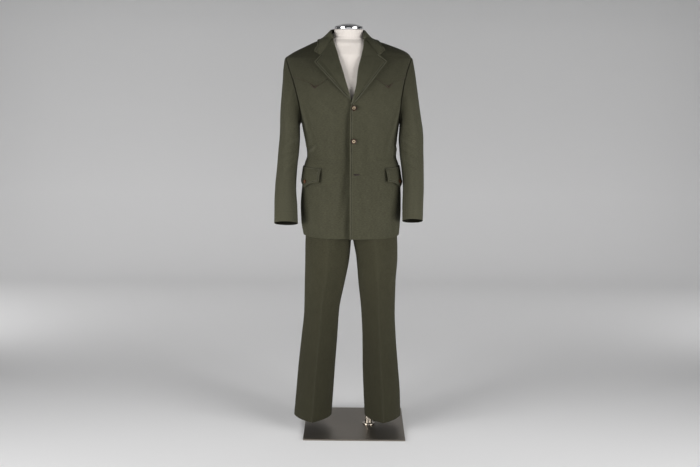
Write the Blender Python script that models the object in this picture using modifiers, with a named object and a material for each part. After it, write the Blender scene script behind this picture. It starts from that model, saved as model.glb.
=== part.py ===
"""Western suit, a jacket and flared trousers, on a limbless dress form with a pole stand.

Metres, +Z up. The front faces -Y and +X is the wearer's left. The origin is on the
underside of the base plate, below the middle of the suit.
"""

import math
from collections import namedtuple

import bmesh
import bpy
from mathutils import Vector

LEFT, RIGHT = 1, -1
SIDE_NAME = {LEFT: "left", RIGHT: "right"}

JACKET_WALL = 0.0020
TROUSER_WALL = 0.0016
SEAM_GAP = 0.0003
TRIM = SEAM_GAP / 2
LAYER_GAP = 0.0009

# The jacket body's outer surface, a superellipse at each height
Ring = namedtuple("Ring", "z centre half front back power")
BODY = [
    Ring(0.749, 0.0064, 0.1780, 0.128, 0.132, 2.25),
    Ring(0.800, 0.0040, 0.1825, 0.130, 0.137, 2.25),
    Ring(0.860, 0.0040, 0.1850, 0.130, 0.140, 2.25),
    Ring(0.920, 0.0055, 0.1840, 0.127, 0.136, 2.25),
    Ring(0.970, 0.0058, 0.1810, 0.122, 0.126, 2.25),
    Ring(1.010, 0.0057, 0.1757, 0.117, 0.115, 2.20),
    Ring(1.045, 0.0055, 0.1655, 0.114, 0.107, 2.20),
    Ring(1.100, 0.0020, 0.1690, 0.116, 0.108, 2.25),
    Ring(1.160, 0.0000, 0.1785, 0.124, 0.118, 2.30),
    Ring(1.220, -0.0020, 0.1920, 0.130, 0.126, 2.30),
    Ring(1.280, -0.0050, 0.2080, 0.131, 0.131, 2.30),
    Ring(1.333, -0.0075, 0.2200, 0.124, 0.132, 2.25),
    Ring(1.373, -0.0090, 0.2290, 0.110, 0.126, 2.15),
    Ring(1.400, -0.0085, 0.2315, 0.097, 0.115, 2.05),
    Ring(1.410, -0.0055, 0.2245, 0.091, 0.110, 2.00),
    Ring(1.420, -0.0015, 0.2130, 0.086, 0.106, 1.95),
    Ring(1.430, 0.0000, 0.1965, 0.081, 0.102, 1.90),
    Ring(1.440, -0.0015, 0.1740, 0.076, 0.098, 1.90),
    Ring(1.450, -0.0050, 0.1500, 0.071, 0.092, 1.90),
    Ring(1.460, -0.0095, 0.1245, 0.067, 0.088, 1.90),
    Ring(1.468, -0.0130, 0.0985, 0.062, 0.084, 1.95),
    Ring(1.474, -0.0140, 0.0815, 0.058, 0.080, 2.00),
]

# The front edges: straight from the hem, then the roll line of each lapel
Edge = namedtuple("Edge", "z left right")
FRONT_EDGE = [
    Edge(0.749, 0.0010, 0.0300),
    Edge(1.150, -0.0015, 0.0300),
    Edge(1.220, -0.0012, 0.0142),
    Edge(1.245, 0.0035, 0.0062),
    Edge(1.310, 0.0204, -0.0144),
    Edge(1.363, 0.0268, -0.0313),
    Edge(1.427, 0.0420, -0.0517),
    Edge(1.472, 0.0485, -0.0663),
]
# The right front passes under the left one by this much at the middle
OVERLAP_DROP = 0.0060
DROP_ACROSS = (-0.075, -0.010)
DROP_UP = (1.262, 1.330)

# Seams of the body, in degrees round from the middle of the front
SIDE_SEAM = 97.0
SHOULDER_SEAM = 92.0
HEM_Z = 0.749
NECK_Z = 1.472
UNDERARM_Z = 1.166
SHOULDER_POINT_Z = 1.408
ARM_STEPS = 8
FRONT_SCOOP = 28.0
BACK_SCOOP = 27.0
SCOOP_POWER = 0.8
LOW_ROWS = 15
SHOULDER_ROWS = (1.420, 1.434, 1.448, 1.461, NECK_Z)
FRONT_COLUMNS = 9
BACK_COLUMNS = 7

# The pointed chest yokes: the point, and how the seam rises from it to each side
YOKE_STEP = 5
YOKE_REACH = 0.080
YOKE_POINT = {LEFT: (0.1349, 1.3023), RIGHT: (-0.1296, 1.2993)}
RISE_OUT = (0.158, 0.60)
RISE_IN = (0.522, 0.90)

# Lapels, seen from the front as x and z
Lapel = namedtuple("Lapel", "start tip notch")
LAPELS = {
    LEFT: Lapel((0.0118, 1.2430), (0.1300, 1.3922), (0.0981, 1.4171)),
    RIGHT: Lapel((-0.0020, 1.2570), (-0.1317, 1.3875), (-0.1074, 1.4160)),
}
LAPEL_THICK = 0.0026
LAPEL_LIFT = 0.0014
LAPEL_ROWS = 14
LAPEL_COLUMNS = 5

# The collar: along each half, from the notch to the middle of the back, the free edge of
# the fall and the neck seam as degrees round the body, and the crown from the neck's middle
CollarStation = namedtuple("CollarStation", "along fall_turn fall_z seam_turn crown_x crown_y crown_z")
COLLAR = [
    CollarStation(0.00, 39.0, 1.4240, 39.0, 0.0550, -0.0520, 1.4785),
    CollarStation(0.20, 51.0, 1.4500, 56.0, 0.0595, -0.0340, 1.4925),
    CollarStation(0.40, 70.0, 1.4620, 76.0, 0.0620, -0.0120, 1.5000),
    CollarStation(0.55, 93.0, 1.4655, 95.0, 0.0620, 0.0080, 1.5035),
    CollarStation(0.75, 131.0, 1.4610, 134.0, 0.0500, 0.0450, 1.5065),
    CollarStation(1.00, 180.0, 1.4550, 180.0, 0.0000, 0.0665, 1.5075),
]
COLLAR_CORNER = {LEFT: (0.1212, 1.4300), RIGHT: (-0.1318, 1.4245)}
COLLAR_STEPS = 12
COLLAR_WALL = 0.0020
COLLAR_END_GAP = 0.0008
NECK_MIDDLE_X = -0.013
CROWN_RADIUS = 0.0030

# Sleeve rings down the arm: side limits from the middle, depth half, and forward tilt
Arm = namedtuple("Arm", "z outer inner y depth tilt")
ARMS = {
    LEFT: [
        Arm(0.812, 0.2705, 0.1950, -0.0735, 0.052, 17.0),
        Arm(0.860, 0.2720, 0.1948, -0.0590, 0.057, 17.0),
        Arm(0.930, 0.2735, 0.1965, -0.0380, 0.063, 15.5),
        Arm(1.000, 0.2732, 0.1905, -0.0200, 0.068, 11.5),
        Arm(1.060, 0.2718, 0.1830, -0.0095, 0.072, 7.0),
        Arm(1.110, 0.2710, 0.1795, -0.0045, 0.075, 4.0),
        Arm(1.150, 0.2680, 0.1820, -0.0025, 0.076, 2.0),
    ],
    RIGHT: [
        Arm(0.799, 0.2785, 0.1908, -0.0735, 0.052, 17.0),
        Arm(0.860, 0.2788, 0.1940, -0.0550, 0.057, 17.0),
        Arm(0.930, 0.2762, 0.1992, -0.0350, 0.063, 15.0),
        Arm(1.000, 0.2705, 0.1960, -0.0190, 0.068, 11.0),
        Arm(1.060, 0.2668, 0.1895, -0.0095, 0.072, 7.0),
        Arm(1.110, 0.2622, 0.1865, -0.0045, 0.074, 4.0),
        Arm(1.150, 0.2598, 0.1870, -0.0025, 0.075, 2.0),
    ],
}
ARM_POWER = 2.2
ARM_LEAN = {LEFT: 0.19, RIGHT: 0.02}
CAP_ROWS = 6
TUBE_ROWS = 11
BACK_HEAD = 0.85
CAP_START = 0.016
CAP_END = 0.33
FOREARM_SEAM = 2
ELBOW_SEAM = 11

# Pocket flaps on the hips: middle in degrees round, top height
FLAP_MIDDLE = {LEFT: 69.0, RIGHT: 63.5}
FLAP_TOP_Z = {LEFT: 1.0090, RIGHT: 1.0060}
FLAP_HALF_TURN = 27.0
FLAP_END_DEPTH = 0.051
FLAP_POINT_DROP = 0.0235
FLAP_POINT_POWER = 1.7
FLAP_THICK = 0.0026
FLAP_STAND_OFF = 0.0028
FLAP_ROWS = 4
FLAP_COLUMNS = 10

BUTTON_X = 0.0128
BUTTON_Z = (1.2285, 1.1085, 0.9865)
BUTTON_RADIUS = 0.0098
BUTTON_THICK = 0.0036
HIDDEN_BUTTON_THICK = 0.0028
FLAP_BUTTON_RADIUS = 0.0076
FLAP_BUTTON_UP = 0.0210
BUTTON_SIDES = 16

# The trousers above the crotch, as rings, and each leg below it
HIPS = [
    Ring(0.742, 0.0087, 0.1700, 0.111, 0.118, 2.15),
    Ring(0.800, 0.0060, 0.1740, 0.114, 0.126, 2.15),
    Ring(0.860, 0.0045, 0.1740, 0.113, 0.127, 2.15),
    Ring(0.920, 0.0055, 0.1680, 0.110, 0.120, 2.15),
    Ring(0.980, 0.0058, 0.1590, 0.104, 0.107, 2.15),
    Ring(1.035, 0.0055, 0.1545, 0.100, 0.098, 2.15),
]
Leg = namedtuple("Leg", "z inner outer front back crease")
LEGS = {
    LEFT: [
        Leg(0.045, 0.0640, 0.2025, -0.117, 0.107, 0.42),
        Leg(0.128, 0.0594, 0.1997, -0.111, 0.100, 0.42),
        Leg(0.240, 0.0544, 0.1902, -0.103, 0.090, 0.42),
        Leg(0.350, 0.0524, 0.1805, -0.097, 0.081, 0.42),
        Leg(0.460, 0.0464, 0.1750, -0.094, 0.076, 0.40),
        Leg(0.570, 0.0346, 0.1764, -0.097, 0.082, 0.35),
        Leg(0.660, 0.0262, 0.1820, -0.104, 0.095, 0.28),
        Leg(0.742, 0.0098, 0.1802, -0.110, 0.115, 0.15),
    ],
    RIGHT: [
        Leg(0.045, -0.0630, -0.2075, -0.117, 0.107, 0.42),
        Leg(0.128, -0.0574, -0.2005, -0.111, 0.100, 0.42),
        Leg(0.240, -0.0504, -0.1913, -0.103, 0.090, 0.42),
        Leg(0.350, -0.0428, -0.1800, -0.097, 0.081, 0.42),
        Leg(0.460, -0.0359, -0.1696, -0.094, 0.076, 0.40),
        Leg(0.570, -0.0150, -0.1679, -0.097, 0.082, 0.35),
        Leg(0.660, 0.0012, -0.1665, -0.104, 0.095, 0.28),
        Leg(0.742, 0.0076, -0.1662, -0.110, 0.115, 0.15),
    ],
}
CROTCH_Z = 0.742
CROTCH_RISE = 0.120
THIGH_BLEND = (0.690, 0.860)
HIP_TURN = (0.378, 0.622)
LEG_ROWS = 13
CROTCH_ROWS = (0.745, 0.752, 0.765, 0.785, 0.812, 0.845, 0.885, 0.925, 0.960)
LEG_COLUMNS = 8
BAND_BOTTOM_Z = 0.9953
BAND_TOP_Z = 1.035
BAND_WALL = 0.0024

# The dress form inside, this far in from the jacket or the trousers at each height
Ease = namedtuple("Ease", "z inset")
BAND_INSIDE_Z = BAND_BOTTOM_Z + 0.004
HIP_EASE = [
    Ease(0.830, 0.012),
    Ease(0.930, 0.012),
    Ease(BAND_BOTTOM_Z, 0.0052),
    Ease(BAND_INSIDE_Z, BAND_WALL + 0.0004),
    Ease(BAND_TOP_Z, BAND_WALL + 0.0004),
]
CHEST_EASE = [
    Ease(1.100, 0.014),
    Ease(1.300, 0.014),
    Ease(1.373, 0.012),
    Ease(1.398, 0.0085),
    Ease(1.420, 0.0036),
    Ease(1.474, 0.0034),
]
FORM_BOTTOM_Z = 0.830
FORM_HIP_ROWS = (FORM_BOTTOM_Z, 0.862, 0.895, 0.930, 0.965, BAND_BOTTOM_Z, BAND_INSIDE_Z, BAND_TOP_Z)
FORM_CHEST_ROWS = (
    1.100, 1.150, 1.200, 1.250, 1.300, 1.340, 1.373, 1.395, 1.408, 1.420, 1.434, 1.448, 1.461,
)
NECK = [
    Ring(1.4720, -0.0125, 0.0790, 0.0540, 0.0740, 2.0),
    Ring(1.4820, -0.0100, 0.0620, 0.0510, 0.0620, 2.0),
    Ring(1.4950, -0.009, 0.0535, 0.0490, 0.0570, 2.0),
    Ring(1.5070, -0.009, 0.0515, 0.0470, 0.0550, 2.0),
]
ROUND_COLUMNS = 36

CAP_RADIUS = 0.0520
CAP_RIM_HEIGHT = 0.0110
CAP_DOME = 0.0100
CAP_DOME_STEPS = 6
CAP_X = -0.009
CAP_Y = 0.004

PLATE_SIDE = 0.380
PLATE_THICK = 0.006
PLATE_X = 0.024
POLE_X = 0.0795
POLE_Y = -0.006
POLE_RADIUS = 0.0095
SOCKET_RADIUS = 0.0230
SOCKET_FLANGE = 0.0045
HUB_RADIUS = 0.0140
HUB_HEIGHT = 0.0320
SCREW_UP = 0.0200
SCREW_SHANK = (0.0040, 0.0035)
SCREW_KNOB = (0.0115, 0.0110)

OLIVE = (0.078, 0.074, 0.050)
OLIVE_DARK = (0.070, 0.067, 0.045)
HORN = (0.330, 0.165, 0.075)
CREAM = (0.800, 0.745, 0.660)
CHROME = (0.700, 0.700, 0.700)
STEEL = (0.300, 0.290, 0.275)
BLACK = (0.020, 0.020, 0.020)


def clear_scene():
    for obj in list(bpy.data.objects):
        bpy.data.objects.remove(obj, do_unlink=True)


def material(name, colour, roughness, metallic=0.0):
    made = bpy.data.materials.new(name)
    made.use_nodes = True
    shader = made.node_tree.nodes["Principled BSDF"]
    shader.inputs["Base Color"].default_value = (*colour, 1.0)
    shader.inputs["Roughness"].default_value = roughness
    shader.inputs["Metallic"].default_value = metallic
    return made


def make_object(name, mesh, look):
    obj = bpy.data.objects.new(name, mesh)
    mesh.materials.append(material(name + "_finish", *look))
    suit.objects.link(obj)
    return obj


def smoothstep(low, high, value):
    t = min(max((value - low) / (high - low), 0.0), 1.0)
    return t * t * (3 - 2 * t)


def slope(before, after, first, second):
    """The tangent at a row that keeps the curve between its neighbours."""
    if first * second <= 0:
        return 0.0
    return (before + after) * first * second / (before * first + after * second)


def row_at(table, value):
    """A table's row at a value of its first column, by a smooth curve through the rows."""
    keys = [row[0] for row in table]
    value = min(max(value, keys[0]), keys[-1])
    i = max(k for k in range(len(keys) - 1) if k == 0 or value > keys[k])
    span = keys[i + 1] - keys[i]
    t = (value - keys[i]) / span
    found = [value]
    for column in range(1, len(table[0])):
        heights = [row[column] for row in table]
        rise = (heights[i + 1] - heights[i]) / span
        ends = [rise, rise]
        if i > 0:
            gap = keys[i] - keys[i - 1]
            ends[0] = slope(gap, span, (heights[i] - heights[i - 1]) / gap, rise)
        if i + 2 < len(keys):
            gap = keys[i + 2] - keys[i + 1]
            ends[1] = slope(span, gap, rise, (heights[i + 2] - heights[i + 1]) / gap)
        found.append(
            (1 + 2 * t) * (1 - t) ** 2 * heights[i]
            + t * (1 - t) ** 2 * span * ends[0]
            + t * t * (3 - 2 * t) * heights[i + 1]
            + t * t * (t - 1) * span * ends[1]
        )
    return type(table[0])(*found)


def signed_power(value, power):
    return math.copysign(abs(value) ** power, value)


def ring_point(table, side, turn, z):
    """A point of a ring table's surface, the turn in degrees from the middle of the front."""
    ring = row_at(table, z)
    across = math.sin(math.radians(turn))
    along = math.cos(math.radians(turn))
    depth = ring.front if along > 0 else ring.back
    x = ring.centre + side * ring.half * signed_power(across, 2 / ring.power)
    return Vector((x, -depth * signed_power(along, 2 / ring.power), z))


def ring_turn(table, side, x, z):
    """The turn at which the front of a ring table's surface has this x."""
    ring = row_at(table, z)
    across = min(max(side * (x - ring.centre) / ring.half, -1.0), 1.0)
    return math.degrees(math.asin(signed_power(across, ring.power / 2)))


def jacket_point(side, turn, z):
    """The body of the jacket, with the right front passing under the left one."""
    point = ring_point(BODY, side, turn, z)
    if side == RIGHT and turn < 90:
        across = smoothstep(*DROP_ACROSS, point.x)
        point.y += OVERLAP_DROP * across * (1 - smoothstep(*DROP_UP, z))
    return point


def surface_normal(surface, side, turn, z):
    """The outward normal of a surface function of side, turn and height."""
    step_turn = 0.5
    step_z = 0.001
    round_it = surface(side, turn + step_turn, z) - surface(side, turn - step_turn, z)
    up_it = surface(side, turn, z + step_z) - surface(side, turn, z - step_z)
    normal = round_it.cross(up_it) * side
    return normal.normalized()


def mesh_of(name, points, faces):
    mesh = bpy.data.meshes.new(name)
    mesh.from_pydata([tuple(p) for p in points], [], faces)
    work = bmesh.new()
    work.from_mesh(mesh)
    bmesh.ops.recalc_face_normals(work, faces=work.faces)
    work.to_mesh(mesh)
    work.free()
    mesh.shade_smooth()
    mesh.set_sharp_from_angle(angle=math.radians(50))
    return mesh


def cloth(name, outer, inner, look, tube=False):
    """A wall between two grids of points, rows by columns; a tube closes round its columns."""
    rows = len(outer)
    columns = len(outer[0])
    points = [p for row in outer for p in row] + [p for row in inner for p in row]

    def at(layer, row, column):
        return layer * rows * columns + row * columns + column % columns

    spans = columns if tube else columns - 1
    faces = []
    for r in range(rows - 1):
        for c in range(spans):
            for layer in (0, 1):
                square = [at(layer, r, c), at(layer, r, c + 1), at(layer, r + 1, c + 1), at(layer, r + 1, c)]
                faces.append(square if layer == 0 else square[::-1])
    rim = []
    for r in (0, rows - 1):
        for c in range(spans):
            rim.append([at(0, r, c), at(1, r, c), at(1, r, c + 1), at(0, r, c + 1)])
    if not tube:
        for c in (0, columns - 1):
            for r in range(rows - 1):
                rim.append([at(0, r, c), at(0, r + 1, c), at(1, r + 1, c), at(1, r, c)])
    # Twisted rims are split along the shorter diagonal, so that both sides of a seam agree
    for a, b, c, d in rim:
        if (points[a] - points[c]).length < (points[b] - points[d]).length:
            faces += [[a, b, c], [a, c, d]]
        else:
            faces += [[a, b, d], [b, c, d]]
    return make_object(name, mesh_of(name, points, faces), look)


def inset(grid, normals, wall):
    return [[p - n * wall for p, n in zip(row, across)] for row, across in zip(grid, normals)]


def toward(start, end, distance):
    return start + (end - start).normalized() * distance


def trimmed(grid, rows=(False, False), columns=(False, False), trim=TRIM):
    """The grid with the marked first and last rows and columns drawn in from the seam."""
    result = [list(row) for row in grid]
    for marked, edge, inside in ((columns[0], 0, 1), (columns[1], -1, -2)):
        if marked:
            for row, source in zip(result, grid):
                row[edge] = toward(source[edge], source[inside], trim)
    for marked, edge, inside in ((rows[0], 0, 1), (rows[1], -1, -2)):
        if marked:
            moves = [(b - a).normalized() * trim for a, b in zip(grid[edge], grid[inside])]
            result[edge] = [p + move for p, move in zip(result[edge], moves)]
    return result


def grid_normals(grid, tube=False):
    """Normals of a grid from its neighbours, rows and columns."""
    rows = len(grid)
    columns = len(grid[0])
    normals = []
    for r in range(rows):
        up = [b - a for a, b in zip(grid[max(r - 1, 0)], grid[min(r + 1, rows - 1)])]
        line = []
        for c in range(columns):
            after = (c + 1) % columns if tube else min(c + 1, columns - 1)
            before = (c - 1) % columns if tube else max(c - 1, 0)
            line.append(up[c].cross(grid[r][after] - grid[r][before]).normalized())
        normals.append(line)
    return normals


def arm_station(step):
    """Height of an armhole station, and the turns of its front and back points."""
    lift = math.pi * step / ARM_STEPS
    middle = (UNDERARM_Z + SHOULDER_POINT_Z) / 2
    reach = (SHOULDER_POINT_Z - UNDERARM_Z) / 2
    seam = SIDE_SEAM + (SHOULDER_SEAM - SIDE_SEAM) * step / ARM_STEPS
    scoop = abs(math.sin(lift)) ** SCOOP_POWER
    return middle - reach * math.cos(lift), seam - FRONT_SCOOP * scoop, seam + BACK_SCOOP * scoop


def body_stations():
    rows = []
    for i in range(LOW_ROWS):
        rows.append((HEM_Z + (UNDERARM_Z - HEM_Z) * i / LOW_ROWS, SIDE_SEAM, SIDE_SEAM))
    rows += [arm_station(step) for step in range(ARM_STEPS + 1)]
    rows += [(z, SHOULDER_SEAM, SHOULDER_SEAM) for z in SHOULDER_ROWS]
    return rows


def armhole_loop(side):
    """Points, normals and inward directions round an armhole, from the underarm by the front."""
    points = []
    normals = []
    for k in range(2 * ARM_STEPS):
        z, front, back = arm_station(min(k, 2 * ARM_STEPS - k))
        turn = front if k <= ARM_STEPS else back
        points.append(jacket_point(side, turn, z))
        normals.append(surface_normal(jacket_point, side, turn, z))
    middle = sum(points, Vector()) / len(points)
    inward = []
    for k, (point, normal) in enumerate(zip(points, normals)):
        along = points[(k + 1) % len(points)] - points[k - 1]
        across = normal.cross(along).normalized()
        inward.append(across if across.dot(middle - point) > 0 else -across)
    return points, normals, inward


def yoke_height(side, x):
    point_x, point_z = YOKE_POINT[side]
    away = side * (x - point_x)
    scale, power = RISE_OUT if away > 0 else RISE_IN
    return point_z + scale * abs(away) ** power


def edge_turn(side, z):
    edge = row_at(FRONT_EDGE, z)
    return ring_turn(BODY, side, edge.left if side == LEFT else edge.right, z)


def front_place(side, station, t):
    """Turn and height on a front panel, its rows bent to follow the yoke seam."""
    z, limit, _ = station
    yoke_z = arm_station(YOKE_STEP)[0]
    start = edge_turn(side, z)
    x = ring_point(BODY, side, start + t * (limit - start), yoke_z).x
    pull = max(0.0, 1 - abs(z - yoke_z) / YOKE_REACH) * (1 - t**6)
    z += pull * (yoke_height(side, x) - yoke_z)
    start = edge_turn(side, z)
    return start + t * (limit - start), z


def body_panel(name, side, stations, places, armhole_column, first_seam, edges):
    """One panel of the jacket body, trimmed at its seams and along the armhole."""
    grid = [[jacket_point(side, turn, z) for turn, z in row] for row in places]
    normals = [[surface_normal(jacket_point, side, turn, z) for turn, z in row] for row in places]
    outer = trimmed(grid, rows=edges[0], columns=edges[1])
    points, _, inward = armhole_loop(side)
    inside = 1 if armhole_column == 0 else -2
    for r, station in enumerate(stations):
        step = first_seam + r
        if 0 <= step <= ARM_STEPS:
            k = step if armhole_column == -1 else (-step) % len(points)
            moved = points[k] - inward[k] * TRIM
            if step in (0, ARM_STEPS):
                moved = toward(moved, grid[r][inside], TRIM)
            outer[r][armhole_column] = moved + (outer[r][armhole_column] - grid[r][armhole_column]) * (
                1.0 if edges[0][0] and r == 0 or edges[0][1] and r == len(stations) - 1 else 0.0
            )
    return cloth(name, outer, inset(outer, normals, JACKET_WALL), (OLIVE, 0.85))


def jacket_fronts(side):
    stations = body_stations()
    split = LOW_ROWS + YOKE_STEP
    steps = [c / FRONT_COLUMNS for c in range(FRONT_COLUMNS + 1)]
    point_x, point_z = YOKE_POINT[side]
    start = edge_turn(side, point_z)
    point = (ring_turn(BODY, side, point_x, point_z) - start) / (stations[split][1] - start)
    steps[round(point * FRONT_COLUMNS)] = point
    lower = stations[: split + 1]
    upper = stations[split:]
    lower_places = [[front_place(side, station, t) for t in steps] for station in lower]
    upper_places = [[front_place(side, station, t) for t in steps] for station in upper]
    name = SIDE_NAME[side]
    seam = (False, True)
    body_panel("jacket_front_" + name, side, lower, lower_places, -1, -LOW_ROWS, (seam, seam))
    body_panel("jacket_yoke_" + name, side, upper, upper_places, -1, YOKE_STEP, ((True, False), seam))


def jacket_back(side):
    stations = body_stations()
    places = []
    for z, _, limit in stations:
        turns = [limit + (180 - limit) * c / BACK_COLUMNS for c in range(BACK_COLUMNS + 1)]
        places.append([(turn, z) for turn in turns])
    both = (True, True)
    body_panel("jacket_back_" + SIDE_NAME[side], side, stations, places, 0, -LOW_ROWS, ((False, False), both))


def on_front(side, x, z, lift):
    """A point lifted off the jacket front at this x and z."""
    turn = ring_turn(BODY, side, x, z)
    return jacket_point(side, turn, z) + surface_normal(jacket_point, side, turn, z) * lift


def roll_x(side, z):
    edge = row_at(FRONT_EDGE, z)
    return edge.left if side == LEFT else edge.right


def lapel(side):
    shape = LAPELS[side]
    top_z = NECK_Z - 0.0020
    top = (roll_x(side, top_z), top_z)
    notch_at = 0.6
    outline = []
    for r in range(LAPEL_ROWS + 1):
        s = r / LAPEL_ROWS
        z = shape.start[1] + s * (top[1] - shape.start[1])
        inner = (roll_x(side, z) - side * 0.0008, z)
        tip = [a + s * (b - a) for a, b in zip(shape.start, shape.tip)]
        row = []
        for c in range(LAPEL_COLUMNS + 1):
            q = c / LAPEL_COLUMNS
            straight = [a + q * (b - a) for a, b in zip(inner, tip)]
            if q < notch_at:
                bent = [a + q / notch_at * (b - a) for a, b in zip(top, shape.notch)]
            else:
                bent = [a + (q - notch_at) / (1 - notch_at) * (b - a) for a, b in zip(shape.notch, shape.tip)]
            pull = smoothstep(0.75, 1.0, s) * (c > 0)
            row.append([a + pull * (b - a) for a, b in zip(straight, bent)])
        outline.append(row)
    outer = []
    inner = []
    for r, row in enumerate(outline):
        lift = LAYER_GAP + LAPEL_LIFT * smoothstep(0.72, 0.95, r / LAPEL_ROWS)
        inner.append([on_front(side, x, z, lift) for x, z in row])
        outer.append([on_front(side, x, z, lift + LAPEL_THICK) for x, z in row])
    outer = trimmed(outer, rows=(False, True))
    inner = trimmed(inner, rows=(False, True))
    cloth("jacket_lapel_" + SIDE_NAME[side], outer, inner, (OLIVE, 0.85))


def collar_section(side, along):
    """The collar's middle line at a station, from the free edge over the crown to the seam."""
    rail = row_at(COLLAR, along)
    fall = (rail.fall_turn, rail.fall_z)
    seam = (rail.seam_turn, NECK_Z)
    seam_lift = 0.0042 + 0.0010 * smoothstep(0.0, 0.4, along)
    rest = LAYER_GAP + LAPEL_LIFT + COLLAR_WALL / 2
    # The end of the collar runs from its corner to the notch and up the gorge seam
    corner_turn = ring_turn(BODY, side, *COLLAR_CORNER[side])
    notch = LAPELS[side].notch
    gorge_top = (roll_x(side, NECK_Z), NECK_Z)
    end = [(corner_turn, COLLAR_CORNER[side][1]), (ring_turn(BODY, side, *notch), notch[1])]
    middle = [(a + b) / 2 for a, b in zip(notch, gorge_top)]
    end.append((ring_turn(BODY, side, *middle), middle[1]))
    end.append((ring_turn(BODY, side, *gorge_top), NECK_Z))
    fade = 1 - smoothstep(0.0, 0.3, along)
    start = row_at(COLLAR, 0.0)
    line = []
    for i, share in enumerate((0.0, 1 / 3, 2 / 3, 1.0)):
        turn = fall[0] + share * (seam[0] - fall[0])
        z = fall[1] + share * (seam[1] - fall[1])
        turn += fade * (end[i][0] - (start.fall_turn + share * (start.seam_turn - start.fall_turn)))
        z += fade * (end[i][1] - (start.fall_z + share * (NECK_Z - start.fall_z)))
        lift = rest + (seam_lift - rest) * share**2
        line.append(
            ring_point(BODY, side, turn, z) + surface_normal(jacket_point, side, turn, z) * lift
        )
    at_edge = side * (gorge_top[0] - NECK_MIDDLE_X) - CROWN_RADIUS
    crown_x = rail.crown_x + fade * (at_edge - start.crown_x)
    crown = Vector((NECK_MIDDLE_X + side * crown_x, rail.crown_y, rail.crown_z))
    away = Vector((side * rail.crown_x, rail.crown_y, 0.0)).normalized()
    foot = ring_point(BODY, side, rail.seam_turn, NECK_Z)
    foot -= surface_normal(jacket_point, side, rail.seam_turn, NECK_Z) * (JACKET_WALL / 2)
    foot.z = NECK_Z + 0.0015
    line.append(crown + away * CROWN_RADIUS - Vector((0, 0, CROWN_RADIUS * 0.9)))
    line.append(crown)
    inner = crown - away * CROWN_RADIUS - Vector((0, 0, CROWN_RADIUS * 1.2))
    line.append(inner)
    line.append((inner + foot) / 2)
    line.append(foot)
    return line


def collar():
    right_half = [collar_section(RIGHT, i / COLLAR_STEPS) for i in range(COLLAR_STEPS + 1)]
    left_half = [collar_section(LEFT, i / COLLAR_STEPS) for i in range(COLLAR_STEPS)]
    grid = trimmed(right_half + left_half[::-1], rows=(True, True), trim=COLLAR_END_GAP)
    normals = grid_normals(grid)
    if normals[COLLAR_STEPS][0].y < 0:
        normals = [[-n for n in row] for row in normals]
    outer = [[p + n * (COLLAR_WALL / 2) for p, n in zip(a, b)] for a, b in zip(grid, normals)]
    cloth("jacket_collar", outer, inset(outer, normals, COLLAR_WALL), (OLIVE, 0.85))


def sleeve_ring(side, z):
    """A ring of the sleeve, from its inner side by the front, as many points as the armhole."""
    arm = row_at(ARMS[side], z)
    middle = Vector((side * (arm.outer + arm.inner) / 2, arm.y, z))
    width = (arm.outer - arm.inner) / 2
    tilt = math.radians(arm.tilt)
    forward = Vector((0, -math.cos(tilt), math.sin(tilt)))
    ring = []
    for k in range(2 * ARM_STEPS):
        turn = math.pi * (1 - k / ARM_STEPS)
        across = signed_power(math.cos(turn), 2 / ARM_POWER) * width
        ahead = signed_power(math.sin(turn), 2 / ARM_POWER) * arm.depth
        ring.append(middle + Vector((side * across, 0, 0)) + forward * ahead)
    return ring


def sleeve_grid(side):
    """Rows of the whole sleeve and their normals, from the armhole to the cuff."""
    points, body_normals, inward = armhole_loop(side)
    top = ARMS[side][-1].z
    cuff = ARMS[side][0].z
    first_ring = sleeve_ring(side, top)
    back_up = Vector((-side * ARM_LEAN[side], 0, 1)).normalized()
    rows = [[p + t * TRIM for p, t in zip(points, inward)]]
    for r in range(1, CAP_ROWS + 1):
        s = r / CAP_ROWS
        row = []
        for k, end in enumerate(first_ring):
            lift = math.pi * min(k, 2 * ARM_STEPS - k) / ARM_STEPS
            across = -0.3 + (1.15 if k <= ARM_STEPS else BACK_HEAD) * math.sin(lift / 2) ** 1.2
            leave = body_normals[k] * math.sqrt(1 - across**2) + inward[k] * across
            start = rows[0][k]
            length = (end - start).length
            near = start + leave * min(CAP_START, 0.4 * length)
            far = end + back_up * (CAP_END * length)
            row.append(
                start * (1 - s) ** 3 + near * 3 * s * (1 - s) ** 2 + far * 3 * s * s * (1 - s) + end * s**3
            )
        rows.append(row)
    for r in range(1, TUBE_ROWS + 1):
        rows.append(sleeve_ring(side, top + (cuff - top) * r / TUBE_ROWS))
    normals = grid_normals(rows, tube=True)
    if normals[-1][ARM_STEPS].x * side < 0:
        normals = [[-n for n in row] for row in normals]
    normals[0] = body_normals
    return rows, normals


def sleeve(side):
    rows, normals = sleeve_grid(side)
    count = 2 * ARM_STEPS
    spans = {"upper": range(FOREARM_SEAM, ELBOW_SEAM + 1), "under": range(ELBOW_SEAM, count + FOREARM_SEAM + 1)}
    for part, columns in spans.items():
        outer = trimmed([[row[k % count] for k in columns] for row in rows], columns=(True, True))
        panel_normals = [[row[k % count] for k in columns] for row in normals]
        name = f"sleeve_{part}_{SIDE_NAME[side]}"
        cloth(name, outer, inset(outer, panel_normals, JACKET_WALL), (OLIVE, 0.85))


def flap_place(side, s, v):
    """Turn, height and lift of a pocket flap, s from its front end to its back end, v down."""
    depth = FLAP_END_DEPTH + FLAP_POINT_DROP * (1 - abs(s)) ** FLAP_POINT_POWER
    turn = FLAP_MIDDLE[side] + s * FLAP_HALF_TURN
    lift = LAYER_GAP + FLAP_STAND_OFF * v**1.5 * (1 + 0.4 * s * s)
    return turn, FLAP_TOP_Z[side] - depth * v, lift


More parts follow.
